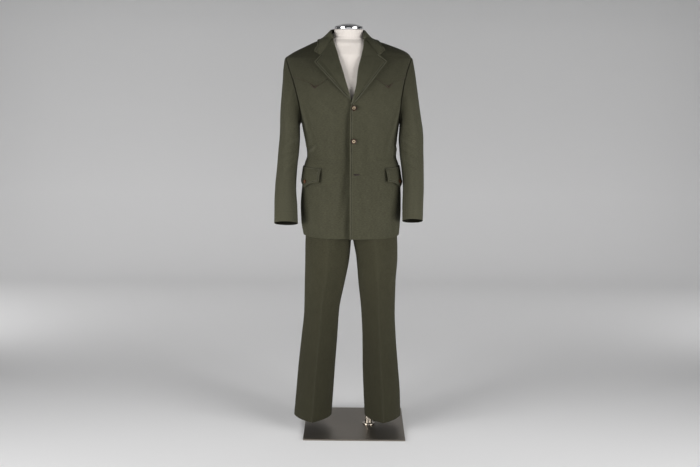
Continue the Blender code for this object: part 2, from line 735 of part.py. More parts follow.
def pocket_flap(side):
    outer = []
    inner = []
    for r in range(FLAP_ROWS + 1):
        places = [flap_place(side, 2 * c / FLAP_COLUMNS - 1, r / FLAP_ROWS) for c in range(FLAP_COLUMNS + 1)]
        normals = [surface_normal(jacket_point, side, turn, z) for turn, z, _ in places]
        row = [jacket_point(side, turn, z) + n * lift for (turn, z, lift), n in zip(places, normals)]
        inner.append(row)
        outer.append([p + n * FLAP_THICK for p, n in zip(row, normals)])
    cloth("pocket_flap_" + SIDE_NAME[side], outer, inner, (OLIVE, 0.85))


def turned(name, profile, sides, look):
    """A solid of revolution round Z from a profile of radius and height, top to bottom."""
    mesh = bpy.data.meshes.new(name)
    points = [(radius, 0.0, height) for radius, height in profile]
    mesh.from_pydata(points, [(i, i + 1) for i in range(len(points) - 1)], [])
    obj = make_object(name, mesh, look)
    screw = obj.modifiers.new("turn", "SCREW")
    screw.steps = sides
    screw.render_steps = sides
    screw.use_merge_vertices = True
    screw.merge_threshold = 0.00001
    screw.use_smooth_shade = False
    return obj


def button(name, radius, thick, place, normal):
    """A four-hole horn button's solid: a disc with a raised rim and a shallow dish."""
    rim = radius * 0.86
    dish = radius * 0.62
    profile = [
        (0.0, thick * 0.72),
        (dish, thick * 0.72),
        (rim, thick),
        (radius, thick * 0.62),
        (radius * 0.94, thick * 0.22),
        (radius * 0.70, 0.0),
        (0.0, 0.0),
    ]
    obj = turned(name, profile, BUTTON_SIDES, (HORN, 0.35))
    obj.location = place
    obj.rotation_euler = normal.to_track_quat("Z", "Y").to_euler()


def buttons():
    for number, z in enumerate(BUTTON_Z, start=1):
        hidden = number == len(BUTTON_Z)
        side = RIGHT if hidden else LEFT
        turn = ring_turn(BODY, side, BUTTON_X, z)
        normal = surface_normal(jacket_point, side, turn, z)
        place = jacket_point(side, turn, z) + normal * SEAM_GAP
        thick = HIDDEN_BUTTON_THICK if hidden else BUTTON_THICK
        button(f"button_front_{number}", BUTTON_RADIUS, thick, place, normal)
    for side in (LEFT, RIGHT):
        depth = FLAP_END_DEPTH + FLAP_POINT_DROP
        turn, z, lift = flap_place(side, 0.0, 1 - FLAP_BUTTON_UP / depth)
        normal = surface_normal(jacket_point, side, turn, z)
        place = jacket_point(side, turn, z) + normal * (lift + FLAP_THICK + SEAM_GAP)
        button("button_flap_" + SIDE_NAME[side], FLAP_BUTTON_RADIUS, BUTTON_THICK, place, normal)


def leg_point(side, w, z):
    """The leg: w is 0 at the inseam, 0.5 at the front crease, 1 at the outseam, 1.5 behind."""
    leg = row_at(LEGS[side], z)
    turn = math.pi * (w - 0.5)
    across = math.sin(turn)
    profile = (1 - leg.crease) * abs(math.cos(turn)) + leg.crease * (1 - abs(across))
    ahead = 1 if math.cos(turn) > 0 else -1
    x = (leg.inner + leg.outer) / 2 + (leg.outer - leg.inner) / 2 * across
    y = (leg.front + leg.back) / 2 - ahead * (leg.back - leg.front) / 2 * profile
    return Vector((x, y, z))


def trouser_point(side, w, z):
    """The trousers: the leg below the crotch, the hip ring above it, blended between."""
    w %= 2
    t = w if w <= 1 else 2 - w
    share = HIP_TURN[0] * t + HIP_TURN[1] * t * t
    turn = 90 * share if w <= 1 else 180 - 90 * share
    hip = ring_point(HIPS, side, turn, z)
    rise = min(max((z - CROTCH_Z) / CROTCH_RISE, 0.0), 1.0)
    fast = math.sqrt(1 - (1 - rise) ** 2)
    slow = smoothstep(*THIGH_BLEND, z)
    outward = smoothstep(0.0, 0.6, t)
    blend = fast * (1 - outward) + slow * outward
    return leg_point(side, w, z).lerp(hip, blend)


def trouser_normal(side, w, z):
    """The outward normal; at the middle seam above the crotch it is taken from one side."""
    step = 0.02
    low = w - step
    high = w + step
    if z > CROTCH_Z:
        low = max(low, 0.0) if w < 1 else low
        high = min(high, 1.9999) if w > 1 else high
    step_z = 0.002
    round_it = trouser_point(side, high, z) - trouser_point(side, low, z)
    up_it = trouser_point(side, w, z + step_z) - trouser_point(side, w, z - step_z)
    if z <= CROTCH_Z + step_z:
        up_it = trouser_point(side, w, z) - trouser_point(side, w, z - step_z)
    return (round_it.cross(up_it) * side).normalized()


def clear_of_middle(point, side):
    """Keeps the two halves of the trousers half a seam gap off the middle seam."""
    if point.z > THIGH_BLEND[0]:
        middle = row_at(HIPS, point.z).centre
        if side * (point.x - middle) < TRIM:
            point = Vector((middle + side * TRIM, point.y, point.z))
    return point


def trousers(side):
    hem = LEGS[side][0].z
    heights = [hem + (CROTCH_Z - hem) * r / LEG_ROWS for r in range(LEG_ROWS + 1)]
    heights += [*CROTCH_ROWS, BAND_BOTTOM_Z - SEAM_GAP]
    for part, first in (("front", 0.0), ("back", 1.0)):
        steps = [first + c / LEG_COLUMNS for c in range(LEG_COLUMNS + 1)]
        if part == "back":
            steps[-1] = 1.9999
        grid = [[trouser_point(side, w, z) for w in steps] for z in heights]
        normals = [[trouser_normal(side, w, z) for w in steps] for z in heights]
        outer = trimmed(grid, columns=(True, True))
        inner = inset(outer, normals, TROUSER_WALL)
        outer = [[clear_of_middle(p, side) for p in row] for row in outer]
        inner = [[clear_of_middle(p, side) for p in row] for row in inner]
        cloth(f"trouser_{part}_{SIDE_NAME[side]}", outer, inner, (OLIVE_DARK, 0.85))


def round_turns():
    """Sides and turns of a whole ring, from the middle of the front by the left."""
    for c in range(ROUND_COLUMNS):
        turn = 360 * c / ROUND_COLUMNS
        yield (LEFT, turn) if turn <= 180 else (RIGHT, 360 - turn)


def hip_surface(side, turn, z):
    return ring_point(HIPS, side, turn, z)


def body_surface(side, turn, z):
    return ring_point(BODY, side, turn, z)


def inset_ring(surface, z, depth, level=False):
    """A ring drawn in from a surface along its normal, kept level where a flat rim needs it."""
    ring = []
    for side, turn in round_turns():
        ring.append(surface(side, turn, z) - surface_normal(surface, side, turn, z) * depth)
    return [Vector((p.x, p.y, z)) for p in ring] if level else ring


def waistband():
    heights = (BAND_BOTTOM_Z, BAND_TOP_Z)
    outer = [inset_ring(hip_surface, z, 0.0, True) for z in heights]
    inner = [inset_ring(hip_surface, z, BAND_WALL, True) for z in heights]
    cloth("trouser_waistband", outer, inner, (OLIVE_DARK, 0.85), tube=True)


def dress_form():
    """The limbless form: hips, chest and shoulders inside the suit, and the neck above it."""
    rings = [inset_ring(hip_surface, z, row_at(HIP_EASE, z).inset, True) for z in FORM_HIP_ROWS]
    rings += [inset_ring(body_surface, z, row_at(CHEST_EASE, z).inset) for z in FORM_CHEST_ROWS]
    for ring in NECK:
        rings.append([ring_point(NECK, side, turn, ring.z) for side, turn in round_turns()])
    points = [p for ring in rings for p in ring]
    faces = []
    for r in range(len(rings) - 1):
        for c in range(ROUND_COLUMNS):
            after = (c + 1) % ROUND_COLUMNS
            low = r * ROUND_COLUMNS
            high = low + ROUND_COLUMNS
            faces.append([low + c, low + after, high + after, high + c])
    faces.append(list(range(ROUND_COLUMNS))[::-1])
    faces.append([(len(rings) - 1) * ROUND_COLUMNS + c for c in range(ROUND_COLUMNS)])
    make_object("dress_form", mesh_of("dress_form", points, faces), (CREAM, 0.8))


def neck_cap():
    """A plated cap on the neck: an upright rim and a shallow dome."""
    edge = 0.0020
    dome = CAP_RADIUS - edge
    profile = []
    for i in range(CAP_DOME_STEPS + 1):
        reach = i / CAP_DOME_STEPS
        profile.append((dome * reach, CAP_RIM_HEIGHT + CAP_DOME * (1 - reach**2)))
    profile += [(CAP_RADIUS, CAP_RIM_HEIGHT - edge), (CAP_RADIUS, 0.0), (0.0, 0.0)]
    cap = turned("neck_cap", profile, ROUND_COLUMNS, (CHROME, 0.15, 1.0))
    cap.location = (CAP_X, CAP_Y, NECK[-1].z + SEAM_GAP)


def stand():
    bpy.ops.mesh.primitive_cube_add(size=1.0, location=(PLATE_X, 0, PLATE_THICK / 2))
    plate = bpy.context.object
    plate.name = "base_plate"
    plate.data.transform(plate.matrix_world.Diagonal((PLATE_SIDE, PLATE_SIDE, PLATE_THICK, 1)))
    bevel = plate.modifiers.new("edge", "BEVEL")
    bevel.width = 0.0008
    bevel.segments = 1
    finish(plate, (STEEL, 0.35, 1.0))

    foot = PLATE_THICK + SEAM_GAP
    top = FORM_BOTTOM_Z - SEAM_GAP
    bpy.ops.mesh.primitive_cylinder_add(
        vertices=24, radius=POLE_RADIUS, depth=top - foot, location=(POLE_X, POLE_Y, (top + foot) / 2)
    )
    pole = bpy.context.object
    pole.name = "stand_pole"
    finish(pole, (CHROME, 0.15, 1.0))

    bore = POLE_RADIUS + SEAM_GAP
    profile = [
        (bore, HUB_HEIGHT),
        (HUB_RADIUS - 0.001, HUB_HEIGHT),
        (HUB_RADIUS, HUB_HEIGHT - 0.001),
        (HUB_RADIUS, SOCKET_FLANGE * 0.8),
        (SOCKET_RADIUS - 0.003, SOCKET_FLANGE * 0.8),
        (SOCKET_RADIUS - 0.0015, SOCKET_FLANGE),
        (SOCKET_RADIUS, SOCKET_FLANGE * 0.7),
        (SOCKET_RADIUS, 0.0),
        (bore, 0.0),
        (bore, HUB_HEIGHT),
    ]
    socket = turned("pole_socket", profile, 24, (CHROME, 0.2, 1.0))
    socket.location = (POLE_X, POLE_Y, foot)

    shank, reach = SCREW_SHANK
    knob, length = SCREW_KNOB
    profile = [
        (0.0, reach + length),
        (knob - 0.002, reach + length),
        (knob, reach + length - 0.002),
        (knob, reach + 0.002),
        (knob - 0.002, reach),
        (shank, reach),
        (shank, 0.0),
        (0.0, 0.0),
    ]
    screw = turned("socket_screw", profile, 16, (BLACK, 0.4))
    screw.location = (POLE_X + HUB_RADIUS + SEAM_GAP, POLE_Y, foot + SCREW_UP)
    screw.rotation_euler = (0, math.pi / 2, 0)


def finish(obj, look):
    """Moves a primitive to the suit's collection with its own material."""
    for old in list(obj.users_collection):
        old.objects.unlink(obj)
    suit.objects.link(obj)
    obj.data.materials.append(material(obj.name + "_finish", *look))
    obj.data.shade_smooth()
    obj.data.set_sharp_from_angle(angle=math.radians(35))


clear_scene()
suit = bpy.data.collections.new("western_suit")
bpy.context.scene.collection.children.link(suit)
for wearer_side in (LEFT, RIGHT):
    jacket_fronts(wearer_side)
    jacket_back(wearer_side)
    lapel(wearer_side)
    sleeve(wearer_side)
    pocket_flap(wearer_side)
    trousers(wearer_side)
collar()
buttons()
waistband()
dress_form()
neck_cap()
stand()
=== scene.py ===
import math

import bpy
import numpy as np
from mathutils import Matrix, Vector


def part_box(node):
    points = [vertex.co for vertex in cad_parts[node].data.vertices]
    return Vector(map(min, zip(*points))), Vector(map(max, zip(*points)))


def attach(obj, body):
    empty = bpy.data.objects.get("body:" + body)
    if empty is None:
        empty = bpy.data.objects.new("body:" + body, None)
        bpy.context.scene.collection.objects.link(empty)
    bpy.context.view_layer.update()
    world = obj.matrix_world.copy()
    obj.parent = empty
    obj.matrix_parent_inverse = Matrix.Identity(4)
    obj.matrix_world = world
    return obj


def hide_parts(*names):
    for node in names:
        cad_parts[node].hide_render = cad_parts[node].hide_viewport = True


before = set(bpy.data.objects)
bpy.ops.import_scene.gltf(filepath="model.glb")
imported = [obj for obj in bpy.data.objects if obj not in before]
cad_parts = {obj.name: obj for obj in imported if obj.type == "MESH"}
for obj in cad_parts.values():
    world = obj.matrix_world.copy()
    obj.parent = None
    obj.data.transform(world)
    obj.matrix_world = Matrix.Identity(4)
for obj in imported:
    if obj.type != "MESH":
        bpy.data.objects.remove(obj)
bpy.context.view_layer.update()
print("frame loaded")

left, right = 1, -1
sideName = {left: "left", right: "right"}


# Shader maths as plain expressions
class Signal:
    def __init__(self, finish, socket):
        self.finish = finish
        self.socket = socket

    def maths(self, operation, *others):
        return self.finish.node("Math", {"operation": operation}, dict(enumerate((self, *others))))

    def __add__(self, other):
        return self.maths("ADD", other)

    def __sub__(self, other):
        return self.maths("SUBTRACT", other)

    def __mul__(self, other):
        return self.maths("MULTIPLY", other)

    def __truediv__(self, other):
        return self.maths("DIVIDE", other)

    def sine(self):
        return self.maths("SINE")

    def clipped(self):
        return self.maths("MAXIMUM", 0.0).maths("MINIMUM", 1.0)


class Finish:
    def __init__(self, name, **values):
        self.material = bpy.data.materials.new(name)
        self.material.use_nodes = True
        self.tree = self.material.node_tree
        self.shader = self.tree.nodes["Principled BSDF"]
        for label, value in values.items():
            self.set(label, value)

    def set(self, label, value):
        words = "".join(" " + letter if letter.isupper() else letter for letter in label).title()
        self.feed(self.shader.inputs[words], value)

    def feed(self, socket, value):
        if isinstance(value, Signal):
            self.tree.links.new(value.socket, socket)
        elif isinstance(value, tuple) and len(value) == 3 and socket.type == "RGBA":
            socket.default_value = (*value, 1.0)
        else:
            socket.default_value = value

    def node(self, kind, settings=None, sockets=None, output=0):
        made = self.tree.nodes.new("ShaderNode" + kind)
        for name, value in (settings or {}).items():
            setattr(made, name, value)
        for name, value in (sockets or {}).items():
            self.feed(made.inputs[name], value)
        return Signal(self, made.outputs[output])

    def noise(self, vector, scale, detail=3.0, roughness=0.5):
        sockets = {"Vector": vector, "Scale": scale, "Detail": detail, "Roughness": roughness}
        return self.node("TexNoise", {"normalize": True}, sockets, "Fac")

    def mix(self, share, first, second):
        # A colour mix's own sockets: factor 0, colours 6 and 7, result 2
        return self.node("Mix", {"data_type": "RGBA"}, {0: share, 6: first, 7: second}, 2)

    def split(self, vector):
        made = self.node("SeparateXYZ", sockets={"Vector": vector})
        return [Signal(self, socket) for socket in made.socket.node.outputs]

    def bump(self, height, distance):
        sockets = {"Height": height, "Distance": distance, "Strength": 1.0}
        self.set("normal", self.node("Bump", sockets=sockets))


# Curves through rows of sizes; the first column is the key
def smoothCurve(rows):
    table = np.array(rows, float)
    keys = table[:, 0]
    values = table[:, 1:]
    gaps = np.diff(keys)[:, None]
    rises = np.diff(values, axis=0) / gaps
    product = rises[:-1] * rises[1:]
    weights = gaps[:-1] * rises[:-1] + gaps[1:] * rises[1:]
    inner = np.where(product > 0, (gaps[:-1] + gaps[1:]) * product / np.where(product > 0, weights, 1), 0)
    slopes = np.vstack([rises[:1], inner, rises[-1:]])

    def at(key):
        key = np.clip(key, keys[0], keys[-1])
        i = np.clip(np.searchsorted(keys, key) - 1, 0, len(keys) - 2)
        span = gaps[i]
        t = (key - keys[i])[..., None] / span
        found = (1 + 2 * t) * (1 - t) ** 2 * values[i] + t * (1 - t) ** 2 * span * slopes[i]
        found += t * t * (3 - 2 * t) * values[i + 1] + t * t * (t - 1) * span * slopes[i + 1]
        return np.moveaxis(found, -1, 0)

    return at


def smoothStep(low, high, value):
    t = np.clip((value - low) / (high - low), 0, 1)
    return t * t * (3 - 2 * t)


def signedPower(value, power):
    return np.sign(value) * np.abs(value) ** power


def unit(vectors):
    return vectors / np.maximum(np.linalg.norm(vectors, axis=-1, keepdims=True), 1e-12)


def bell(value, width):
    return np.exp(-((value / width) ** 2))


def raised(points, normals, height):
    return points + normals * height[..., None]


def facing(normals, sample, way):
    # All turned over where the sample points against way
    return -normals if np.dot(normals[sample], way) < 0 else normals


def lengthsTo(points, axis, power=1.0):
    # Length to each point, along the rows (axis 1) or up the columns (axis 0)
    steps = np.linalg.norm(np.diff(points, axis=axis), axis=-1) ** power
    return np.insert(np.cumsum(steps, axis=axis), 0, 0, axis=axis)


def between(at, keys, points):
    return np.stack([np.interp(at, keys, points[:, k]) for k in range(3)], -1)


def circle(radius, spokes):
    turns = [2 * math.pi * k / spokes for k in range(spokes)]
    return [(radius * math.cos(turn), radius * math.sin(turn)) for turn in turns]


def ringFaces(rings, spokes):
    # Squares between each ring of points and the next
    faces = []
    for i in range(rings - 1):
        for k in range(spokes):
            a, b = i * spokes + k, i * spokes + (k + 1) % spokes
            faces.append((a, a + spokes, b + spokes, b))
    return faces


def spread(first, last, count, crowd=0.0):
    # Even steps, drawn towards both ends by crowd, so that seams are finely cut
    t = np.linspace(0, 1, count)
    return first + (last - first) * (t - crowd * np.sin(2 * np.pi * t) / (2 * np.pi))


foldStrength = {"body": 1.5, "sleeve": 0.55, "leg": 0.9}


# Soft folds: each a ridge (or a trough, where low) from one place to another; pitch is metres
# for a unit across
def foldRelief(folds, pitch, across, up):
    total = np.zeros(np.broadcast(across, up).shape)
    for startAcross, startUp, endAcross, endUp, width, height in folds:
        startAcross, endAcross = startAcross * pitch, endAcross * pitch
        runAcross, runUp = endAcross - startAcross, endUp - startUp
        length = math.hypot(runAcross, runUp)
        along = ((across - startAcross) * runAcross + (up - startUp) * runUp) / length**2
        off = ((across - startAcross) * runUp - (up - startUp) * runAcross) / length
        fade = np.clip(4 * along * (1 - along), 0, 1) ** 0.8
        wander = off + 0.25 * width * np.sin(7 * along + 9 * startUp)
        ridge = bell(wander, width) - 0.45 * bell(wander - 1.7 * width, 1.2 * width)
        total += height * fade * ridge
    return total


def gridNormals(points, tube=False):
    if tube:
        around = np.roll(points, -1, axis=1) - np.roll(points, 1, axis=1)
    else:
        around = np.gradient(points, axis=1)
    return unit(np.cross(np.gradient(points, axis=0), around))


def pieceName(node):
    words = node.split("_")
    return words[0] + "".join(word.title() for word in words[1:])


def addObject(name, data):
    made = bpy.data.objects.new(name, data)
    bpy.context.scene.collection.objects.link(made)
    return made


def addMesh(node, points, faces, finish, cloth=None, sharp=None):
    name = pieceName(node)
    mesh = bpy.data.meshes.new(name)
    mesh.from_pydata(np.asarray(points).reshape(-1, 3).tolist(), [], faces)
    if cloth is not None:
        mesh.attributes.new("cloth", "FLOAT_VECTOR", "POINT")
        mesh.attributes["cloth"].data.foreach_set("vector", np.asarray(cloth, float).ravel())
    mesh.shade_smooth()
    if sharp:
        mesh.set_sharp_from_angle(angle=math.radians(sharp))
    mesh.materials.append(finish.material)
    piece = addObject(name, mesh)
    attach(piece, "root")
    return piece


def clothSizes(points):
    # Place on the flat cloth, in metres: across the row and up the columns
    u = lengthsTo(points, 1)
    u -= u.mean(axis=1, keepdims=True)
    v = lengthsTo(points, 0).mean(axis=1, keepdims=True)
    return np.stack([u, np.broadcast_to(v, u.shape), np.zeros_like(u)], -1)


def bending(points, normals, tube):
    # From -1 in a tight groove to 1 on a tight ridge
    fullBend = 160  # a metre's curvature that counts as tight
    found = np.zeros(points.shape[:2])
    for axis in (0, 1):
        before = np.roll(points, 1, axis=axis)
        after = np.roll(points, -1, axis=axis)
        reach = np.linalg.norm(after - before, axis=-1) / 2
        height = np.sum((points - (before + after) / 2) * normals, axis=-1)
        bend = height / np.maximum(reach, 1e-5) ** 2
        if axis == 0:
            bend[[0, -1]] = 0
        elif not tube:
            bend[:, [0, -1]] = 0
        found += bend
    return np.clip(found / fullBend, -1, 1)


def clothShell(name, points, normals, wall, finish, tube=False, soften=0.35, insideShade=0.0):
    # A thin wall of cloth with a rounded rim: outer grid, inner grid and a strip between;
    # the inside share darkens the inner side with painted shade, for the deep inside of a sleeve
    rows, columns = points.shape[:2]
    outward = np.cross(np.gradient(points, axis=1), np.gradient(points, axis=0))
    if np.sum(outward * normals) < 0:
        points, normals = points[:, ::-1], normals[:, ::-1]
    inner = points - normals * wall
    cloth = clothSizes(points)
    # The bend drives the wool's painted shade in grooves and its lighter ridges
    cloth[..., 2] = bending(points, normals, tube)
    count = rows * columns
    index = np.arange(count).reshape(rows, columns)

    def squares(grid, flip):
        if tube:
            grid = np.concatenate([grid, grid[:, :1]], axis=1)
        a, b, c, d = grid[:-1, :-1], grid[:-1, 1:], grid[1:, 1:], grid[1:, :-1]
        order = (a, d, c, b) if flip else (a, b, c, d)
        return np.stack([q.ravel() for q in order], -1).tolist()

    faces = squares(index, False) + squares(index + count, True)
    if tube:
        loops = [index[0], index[-1][::-1]]
    else:
        loops = [np.concatenate([index[0], index[1:, -1], index[-1, -2::-1], index[-2:0:-1, 0]])]
    flat = points.reshape(-1, 3)
    flatInner = inner.reshape(-1, 3)
    flatNormal = normals.reshape(-1, 3)
    extra = []
    extraCloth = []
    start = 2 * count
    for loop in loops:
        ahead = np.roll(flat[loop], -1, axis=0) - np.roll(flat[loop], 1, axis=0)
        outward = unit(np.cross(ahead, flatNormal[loop]))
        extra.append((flat[loop] + flatInner[loop]) / 2 + outward * wall * soften)
        extraCloth.append(cloth.reshape(-1, 3)[loop])
        middle = start + np.arange(len(loop))
        start += len(loop)
        for first, second in ((loop, middle), (middle, loop + count)):
            ring = np.stack([first, second, np.roll(second, -1), np.roll(first, -1)], -1)
            faces += ring.tolist()
    allPoints = np.concatenate([flat, flatInner] + extra)
    inside = cloth.reshape(-1, 3).copy()
    # Painted shade: the inner side is marked as a deep groove, which the wool darkens
    inside[:, 2] = -insideShade
    allCloth = np.concatenate([cloth.reshape(-1, 3), inside] + extraCloth)
    piece = addMesh(name, allPoints, faces, finish, allCloth, sharp=62)
    piece.data.validate()
    return piece


# Wool twill: fine diagonal ribs, a heathered colour and a soft sheen, with painted shade by height, in
# grooves and on the inside, and ridges lighter, partly rubbed and partly painted highlight
woolLook = {
    "shade": (0.0430, 0.0415, 0.0262),
    "light": (0.0700, 0.0680, 0.0445),
    "rough": 0.86,
    "ribPitch": 0.0011,
    "ribDepth": 0.00022,
    "sheen": 0.05,
    "gloss": 0.06,
    # ridges lighter, partly rubbed wear and partly painted highlight; grooves darker, painted shade towards
    # the dark tone
    "rub": 0.45,
    "rubbedAndLit": (0.1300, 0.1270, 0.0950),
    "deep": 0.75,
    "groove": (0.0120, 0.0115, 0.0075),
    "sheenTint": (0.80, 0.80, 0.68),
    # scale and strength of each mottle
    "heather": (900.0, 1.1),
    "slub": (210.0, 1.7),
    "cloud": (34.0, 0.7),
    # painted shade by height, darker towards the shoulders and the shins, and painted light at the cuffs:
    # the share, where it starts and over how much it grows
    "highPaintedShade": 0.44,
    "lowPaintedShade": 0.32,
    "cuffPaintedLight": 0.0,
    "high": (1.24, 0.20),
    "low": (0.66, 0.40),
    "cuff": (1.04, 0.24),
}


def woolFinish(name, look, ribTurn=1.0):
    made = Finish(name, sheenWeight=look["sheen"], sheenRoughness=0.45, sheenTint=look["sheenTint"])
    made.shader.inputs["Specular IOR Level"].default_value = look["gloss"]
    place = made.node("Attribute", {"attribute_name": "cloth"}, output="Vector")
    across, up, bend = made.split(place)
    rib = ((across * ribTurn + up) * (2 * math.pi / look["ribPitch"])).sine() * 0.5 + 0.5
    weft = ((across - up * 0.4) * (2 * math.pi / (look["ribPitch"] * 0.63))).sine() * 0.5 + 0.5
    heather = made.noise(place, look["heather"][0], 2.0)
    cloudy = made.noise(place, look["cloud"][0], 4.0)
    drawn = made.node("Mapping", sockets={"Vector": place, "Scale": (0.55, 1.7, 0.0)})
    slub = made.noise(drawn, look["slub"][0], 3.0)
    tone = (heather - 0.5) * look["heather"][1] + (slub - 0.5) * look["slub"][1]
    tone = tone + (cloudy - 0.5) * look["cloud"][1] + rib * 0.16 + 0.42
    height = made.split(made.node("TexCoord", output="Object"))[2]
    # Painted shade by height: darker towards the shoulders and towards the shins, mixed towards the dark
    # tone
    highZ, highReach = look["high"]
    highPaintedShadeShare = ((height - highZ) / highReach).clipped() * look["highPaintedShade"]
    lowPaintedShadeShare, cuffPaintedLightShare = (
        ((height - z) / -reach).clipped() * look[share]
        for (z, reach), share in ((look["low"], "lowPaintedShade"), (look["cuff"], "cuffPaintedLight"))
    )
    woven = made.mix(tone.clipped(), look["shade"], look["light"])
    # Painted light: the sleeves' cuffs lighter towards the bottom
    cuffPaintedLit = made.mix(cuffPaintedLightShare, woven, look["light"])
    paintedShaded = made.mix(highPaintedShadeShare + lowPaintedShadeShare, cuffPaintedLit, look["groove"])
    # Ridges lightened, partly rubbed wear and partly painted highlight
    rubbedAndLit = made.mix((bend * look["rub"]).clipped(), paintedShaded, look["rubbedAndLit"])
    # Painted shade in grooves: concave cloth darkened towards the dark tone
    made.set("baseColor", made.mix((bend * -look["deep"]).clipped(), rubbedAndLit, look["groove"]))
    made.set("roughness", (cloudy - 0.5) * 0.12 + look["rough"])
    made.bump(rib * 0.7 + weft * 0.3 + heather * 0.5, look["ribDepth"])
    return made


def plainFinish(name, tone, contrast, rough, scale, depth, **values):
    # A surface with a fine grain: a tone that wanders, a little bump
    made = Finish(name, **values)
    place = made.node("TexCoord", output="Object")
    grain = made.noise(place, scale, 4.0)
    broad = made.noise(place, scale / 22, 3.0)
    darker = tuple(c * (1 - contrast) for c in tone)
    lighter = tuple(min(c * (1 + contrast), 1.0) for c in tone)
    made.set("baseColor", made.mix((grain * 0.5 + broad * 0.5 - 0.5) * 1.6 + 0.5, darker, lighter))
    made.set("roughness", (broad - 0.5) * 0.2 + rough)
    made.bump(grain, depth)
    return made


def steelFinish(name):
    # Brushed along X: long fine scratches
    made = Finish(name, metallic=1.0)
    place = made.node("TexCoord", output="Object")
    drawn = made.node("Mapping", sockets={"Vector": place, "Scale": (6.0, 900.0, 60.0)})
    scratch = made.noise(drawn, 1.0, 5.0, 0.65)
    blot = made.noise(place, 9.0, 3.0)
    dark, pale = (0.160, 0.140, 0.118), (0.360, 0.325, 0.280)
    made.set("baseColor", made.mix(scratch * 0.6 + blot * 0.4, dark, pale))
    made.set("roughness", scratch * 0.22 + blot * 0.12 + 0.24)
    made.bump(scratch, 0.00006)
    return made


def hornFinish(name, dark, pale, radius):
    # Streaked horn: a pale ring in the dish, dark at the holes, and dark at the rim, partly the horn's own
    # colour and partly painted shade for the shadow round its edge
    look = {"ring": 0.47, "fall": 30.0}
    made = Finish(name, coatWeight=0.12, coatRoughness=0.2)
    made.shader.inputs["Specular IOR Level"].default_value = 0.25
    place = made.node("Attribute", {"attribute_name": "cloth"}, output="Vector")
    drawn = made.node("Mapping", sockets={"Vector": place, "Scale": (1.0, 3.0, 1.0)})
    streak = made.noise(drawn, 420.0, 4.0)
    out = made.node("VectorMath", {"operation": "LENGTH"}, {0: place}, "Value")
    away = out / radius - look["ring"]
    share = (away * away) * -look["fall"] + 1.25 + (streak - 0.5) * 0.9
    made.set("baseColor", made.mix(share.clipped(), dark, pale))
    made.set("roughness", streak * 0.15 + 0.30)
    made.bump(streak, 0.00008)
    return made


wool = woolFinish("oliveTwill", woolLook)
# The same wool for the trousers, darker throughout: painted shade for the legs
trouserPaintedShadeLook = {"shade": (0.0345, 0.0325, 0.0195), "light": (0.0570, 0.0540, 0.0335), "rub": 0.09}
# The lapels' copy of the wool, slightly darker throughout with less darkening by height: painted shade
lapelPaintedShadeLook = {"shade": (0.0410, 0.0400, 0.0253), "light": (0.0670, 0.0655, 0.0426), "highPaintedShade": 0.12}
# The collar's copy of the wool, lighter and not darkened by height: painted light
collarPaintedLightLook = {"shade": (0.0530, 0.0515, 0.0328), "light": (0.0880, 0.0860, 0.0560), "highPaintedShade": 0.0}
woolTrouserShaded = woolFinish("oliveTwillTrousers", {**woolLook, **trouserPaintedShadeLook})
woolLapelShaded = woolFinish("oliveTwillTurnedShaded", {**woolLook, **lapelPaintedShadeLook}, ribTurn=-1.0)
woolCollarLit = woolFinish("oliveTwillCollarLit", {**woolLook, **collarPaintedLightLook})
# The sleeves' copy of the wool, with painted light at the cuffs
woolSleeveCuffLit = woolFinish("oliveTwillSleeves", {**woolLook, "cuffPaintedLight": 0.55})
stitchThread = plainFinish("oliveSilkThread", (0.060, 0.058, 0.038), 0.25, 0.5, 1500.0, 0.00004)
# Near-black thread for the buttonholes: painted shade for the open slit
slitShadeThread = plainFinish("shadedSilkThread", (0.016, 0.006, 0.005), 0.1, 0.6, 1500.0, 0.00004)
markThread = plainFinish("russetSilkThread", (0.045, 0.015, 0.011), 0.3, 0.45, 1500.0, 0.00004)
horn = hornFinish("paleRimmedHorn", (0.030, 0.013, 0.008), (0.420, 0.335, 0.225), 0.0100)
flapHorn = hornFinish("brownHorn", (0.070, 0.026, 0.010), (0.210, 0.095, 0.040), 0.0076)
jersey = plainFinish("creamJersey", (0.78, 0.72, 0.665), 0.03, 0.78, 1300.0, 0.00012, sheenWeight=0.15)
metal = {"metallic": 1.0}
chrome = plainFinish("polishedChrome", (0.72, 0.72, 0.73), 0.05, 0.11, 260.0, 0.00001, **metal)
# Painted reflection: a darker, brownish metal tone for the pole and socket, for the warm plate reflected in
# them
paintedReflectionChrome = plainFinish("paintedReflectionChrome", (0.44, 0.39, 0.33), 0.2, 0.20, 260.0, 0.00002, **metal)
blackMetal = plainFinish("blackenedSteel", (0.018, 0.017, 0.017), 0.3, 0.38, 500.0, 0.00003)
plateSteel = steelFinish("brushedSteel")
print("finishes made")


